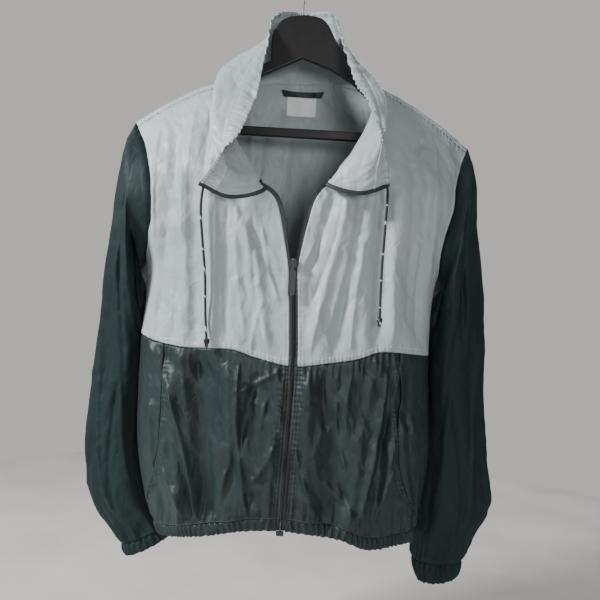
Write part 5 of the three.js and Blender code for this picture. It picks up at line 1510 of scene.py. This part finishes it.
def hanger_outline():
    outline = arm_line(HANGER_TIPS["left"], HANGER_DOME[0][0] - DOME_FOOT, 0)
    outline += rounded_line(HANGER_DOME, 6)
    outline += arm_line(HANGER_DOME[-1][0] + DOME_FOOT, HANGER_TIPS["right"], 0)
    return outline + HANGER_FOOT


def hanger_window():
    start = HANGER_TIPS["left"] + WINDOW_INSET["left"]
    end = HANGER_TIPS["right"] - WINDOW_INSET["right"]
    window = arm_line(start, WINDOW_NECK[0][0] - WINDOW_STEP, ARM_DEEP)
    window += WINDOW_NECK
    window += arm_line(WINDOW_NECK[-1][0] + WINDOW_STEP, end, ARM_DEEP)
    return window + [(end, BAR_TOP), (start, BAR_TOP)]


def hanger_plate():
    data = bpy.data.curves.new("hanger_plate", "CURVE")
    data.dimensions = "2D"
    data.fill_mode = "BOTH"
    data.extrude = (HANGER_THICK / 2 - HANGER_ROUND) / 1000
    data.bevel_depth = HANGER_ROUND / 1000
    data.bevel_resolution = 3
    for line in (hanger_outline(), hanger_window()):
        spline = data.splines.new("POLY")
        spline.points.add(len(line) - 1)
        for point, (x, z) in zip(spline.points, line):
            point.co = (x / 1000, z / 1000, 0, 1)
        spline.use_cyclic_u = True
    source = new_object("hanger_outline", data)
    bpy.context.view_layer.update()
    mesh = bpy.data.meshes.new_from_object(source.evaluated_get(bpy.context.evaluated_depsgraph_get()))
    mesh.transform(Matrix.Rotation(math.pi / 2, 4, "X"))
    mesh.materials.clear()
    mesh.materials.append(hanger_plastic)
    made = new_object("hanger_plate", mesh)
    bpy.data.objects.remove(source)
    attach(made, "jacket")
    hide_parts("hanger")


hanger_plate()


# Topstitching: lock stitches along every sewn edge, in pale thread on the pale panels
# and in dark thread on the dark ones, in one or two rows beside each seam.
LINE_STEP = 1.2
STITCH_LIFT = 0.16
FIRST_ROW = 2.2
SEAM_ROWS = (2.2, 7.5)
ZIP_ROWS = (2.2, 6.5)
POCKET_ROWS = (2.2, 7.0)
SHOULDER_ROWS = (2.0, 8.0)
OPEN_ROW = 2.4
HEM_ROW = 1.8
COLLAR_TOP_ROW = 0.97


# Line of thread on the body's face
def on_cloth(x, z, face=-1):
    return surface(x, z, face, STITCH_LIFT)


def beside_zip(side, z):
    return [on_cloth(beside_zip_x(side, z) + SIGN[side] * reach, z) for reach in ZIP_ROWS]


def fine(start, end):
    return np.linspace(start, end, int(abs(end - start) / LINE_STEP) + 2)


def finer(values):
    at = np.linspace(0, len(values) - 1, 3 * len(values))
    return np.stack([np.interp(at, np.arange(len(values)), values[:, k]) for k in range(2)], axis=1)


def pale_lines():
    lines = []
    for side in SIDES:
        sign = SIGN[side]
        grid = front_grids[side]
        inner, outer = grid[:, -1], grid[:, 0]
        x = fine(grid[-1, 3, 0], grid[-1, -4, 0])
        lines += [on_cloth(x, waist(x) + reach) for reach in SEAM_ROWS]
        lines += beside_zip(side, fine(UNDERARM_Z - 4, WAIST_Z["zip"] + 2))
        edge_line = finer(inner[82:126])
        lines.append(on_cloth(edge_line[:, 0] + sign * OPEN_ROW, edge_line[:, 1]))
        arm_line = finer(outer[2:80])
        lines.append(on_cloth(arm_line[:, 0] - sign * FIRST_ROW, arm_line[:, 1]))
        tip_x = float(armhole_x(side, seam_height(side)))
        x = fine(tip_x - sign * 2, float(neck_place(SHOULDER_AT[side])[0]))
        lines += [on_cloth(x, ridge(x) - FORWARD_SHOULDER + reach) for reach in SHOULDER_ROWS]
    x = fine(-200, 206)
    lines += [on_cloth(x, waist(x, 1) + reach, 1) for reach in SEAM_ROWS]
    for level in (CHANNEL_AT, COLLAR_TOP_ROW):
        j = int(level * (COLLAR_HIGH - 1))
        for depth in (0.2, -CLOTH - 0.2):
            lines.append(collar_points[j] + depth * collar_normals[j])
    return lines


def dark_lines():
    lines = []
    for side in SIDES:
        sign = SIGN[side]
        lines += beside_zip(side, fine(WAIST_Z["zip"] - 3, HEM_Z["zip"] + 2))
        z = fine(POCKETS[side]["z"][0] - 3, POCKETS[side]["z"][-1] + 3)
        seam = column(POCKETS[side], "z", "x", z)
        gap = column(POCKETS[side], "z", "slit", z) / 2
        lines += [on_cloth(seam - sign * (gap + reach), z) for reach in POCKET_ROWS]
        x = fine(seam[0] - sign * 2, float(zip_line(WAIST_Z["zip"])) + sign * (ZIP_HALF + 2))
        lines.append(on_cloth(x, hem(x) + HEM_BAND + HEM_ROW))
    x = fine(-170, 196)
    lines.append(on_cloth(x, hem(x, 1) + HEM_BAND + HEM_ROW, 1))
    return lines


row_piece("stitches_pale", pale_lines(), STITCH_PITCH, STITCH_SIZE, pale_thread)
row_piece("stitches_dark", dark_lines(), STITCH_PITCH, STITCH_SIZE, dark_thread)


# Eyelets: small steel rings pressed into the front corners of the collar, one a side,
# where the cords come out of the channel.
RING_ROUND = 32
RING_SECTION = 10
EYELET_ACROSS = {"left": 0.03, "right": 0.97}
EYELET_UP = 0.93
EYELET_RADIUS = 2.6
EYELET_WIRE = 0.7


def torus(name, centre, axis, major, minor, material):
    axis = unit(axis)
    first = unit(np.cross(axis, [0.0, 0.0, 1.0]))
    second = np.cross(axis, first)
    a = np.linspace(0, 2 * math.pi, RING_ROUND, endpoint=False)[:, None, None]
    b = np.linspace(0, 2 * math.pi, RING_SECTION, endpoint=False)[None, :, None]
    outwards = np.cos(a) * first + np.sin(a) * second
    points = centre + (major + minor * np.cos(b)) * outwards + minor * np.sin(b) * axis
    place = np.arange(RING_ROUND * RING_SECTION).reshape(RING_ROUND, RING_SECTION)
    p, q = place, np.roll(place, -1, axis=0)
    faces = np.stack([p, q, np.roll(q, -1, axis=1), np.roll(p, -1, axis=1)], axis=-1).reshape(-1, 4)
    return mesh_piece(name, points.reshape(-1, 3), faces, material)


for side in SIDES:
    i = int(EYELET_ACROSS[side] * (COLLAR_WIDE - 1))
    j = int(EYELET_UP * (COLLAR_HIGH - 1))
    facing = collar_normals[j, i]
    eyelet = torus(f"eyelet_{side}", collar_points[j, i] + 0.2 * facing, facing,
                   EYELET_RADIUS, EYELET_WIRE, steel)


# Lights: a strong one from the upper left, a weak one low at the front and one behind,
# in a pale room with a pale floor
def area_light(name, place, aim, size, power):
    data = bpy.data.lights.new(name, "AREA")
    data.size = size
    data.energy = power
    made = new_object(name, data)
    look = unit(np.array(aim, float) - np.array(place, float))
    side_way = unit(np.cross(look, [0, 0, 1.0]))
    up_way = np.cross(side_way, look)
    way = Matrix([side_way.tolist(), up_way.tolist(), (-look).tolist()]).transposed().to_4x4()
    made.matrix_world = Matrix.Translation(place) @ way


area_light("key_light", (-1.6, -0.85, 0.55), (0, 0, -0.42), 0.35, 78)
area_light("fill_light", (0.6, -2.05, -0.25), (0, 0, -0.3), 0.7, 17)
area_light("back_light", (0.6, 1.6, 0.6), (0, 0, -0.45), 1.4, 18)
ROOM_COLOUR = (0.86, 0.84, 0.82, 1)
world = bpy.data.worlds.new("room")
world.use_nodes = True
sky = world.node_tree
backdrop = sky.nodes["Background"]
backdrop.inputs["Color"].default_value = ROOM_COLOUR
backdrop.inputs["Strength"].default_value = 0.62
glow = tree_node(sky, "ShaderNodeBackground", Color=ROOM_COLOUR, Strength=0.24)
seen = tree_node(sky, "ShaderNodeLightPath")
either = tree_node(sky, "ShaderNodeMixShader")
sky.links.new(seen.outputs["Is Camera Ray"], either.inputs["Fac"])
sky.links.new(glow.outputs["Background"], either.inputs[1])
sky.links.new(backdrop.outputs["Background"], either.inputs[2])
sky.links.new(either.outputs["Shader"], sky.nodes["World Output"].inputs["Surface"])
bpy.context.scene.world = world

FLOOR_Z = -1.12
FLOOR_RADIUS = 1.7
FLOOR_SIDES = 96
floor_mesh = bpy.data.meshes.new("floor")
turns = np.arange(FLOOR_SIDES) * 2 * math.pi / FLOOR_SIDES
rim = [(FLOOR_RADIUS * math.cos(turn), FLOOR_RADIUS * math.sin(turn), FLOOR_Z) for turn in turns]
floor_mesh.from_pydata(rim, [], [tuple(range(FLOOR_SIDES))])
floor = new_object("floor", floor_mesh)
floor_look = speckled("floor_pale", (0.6, 0.585, 0.57), (0.68, 0.665, 0.65), 0.8, 6.0, 0.05)
floor_mesh.materials.append(floor_look)
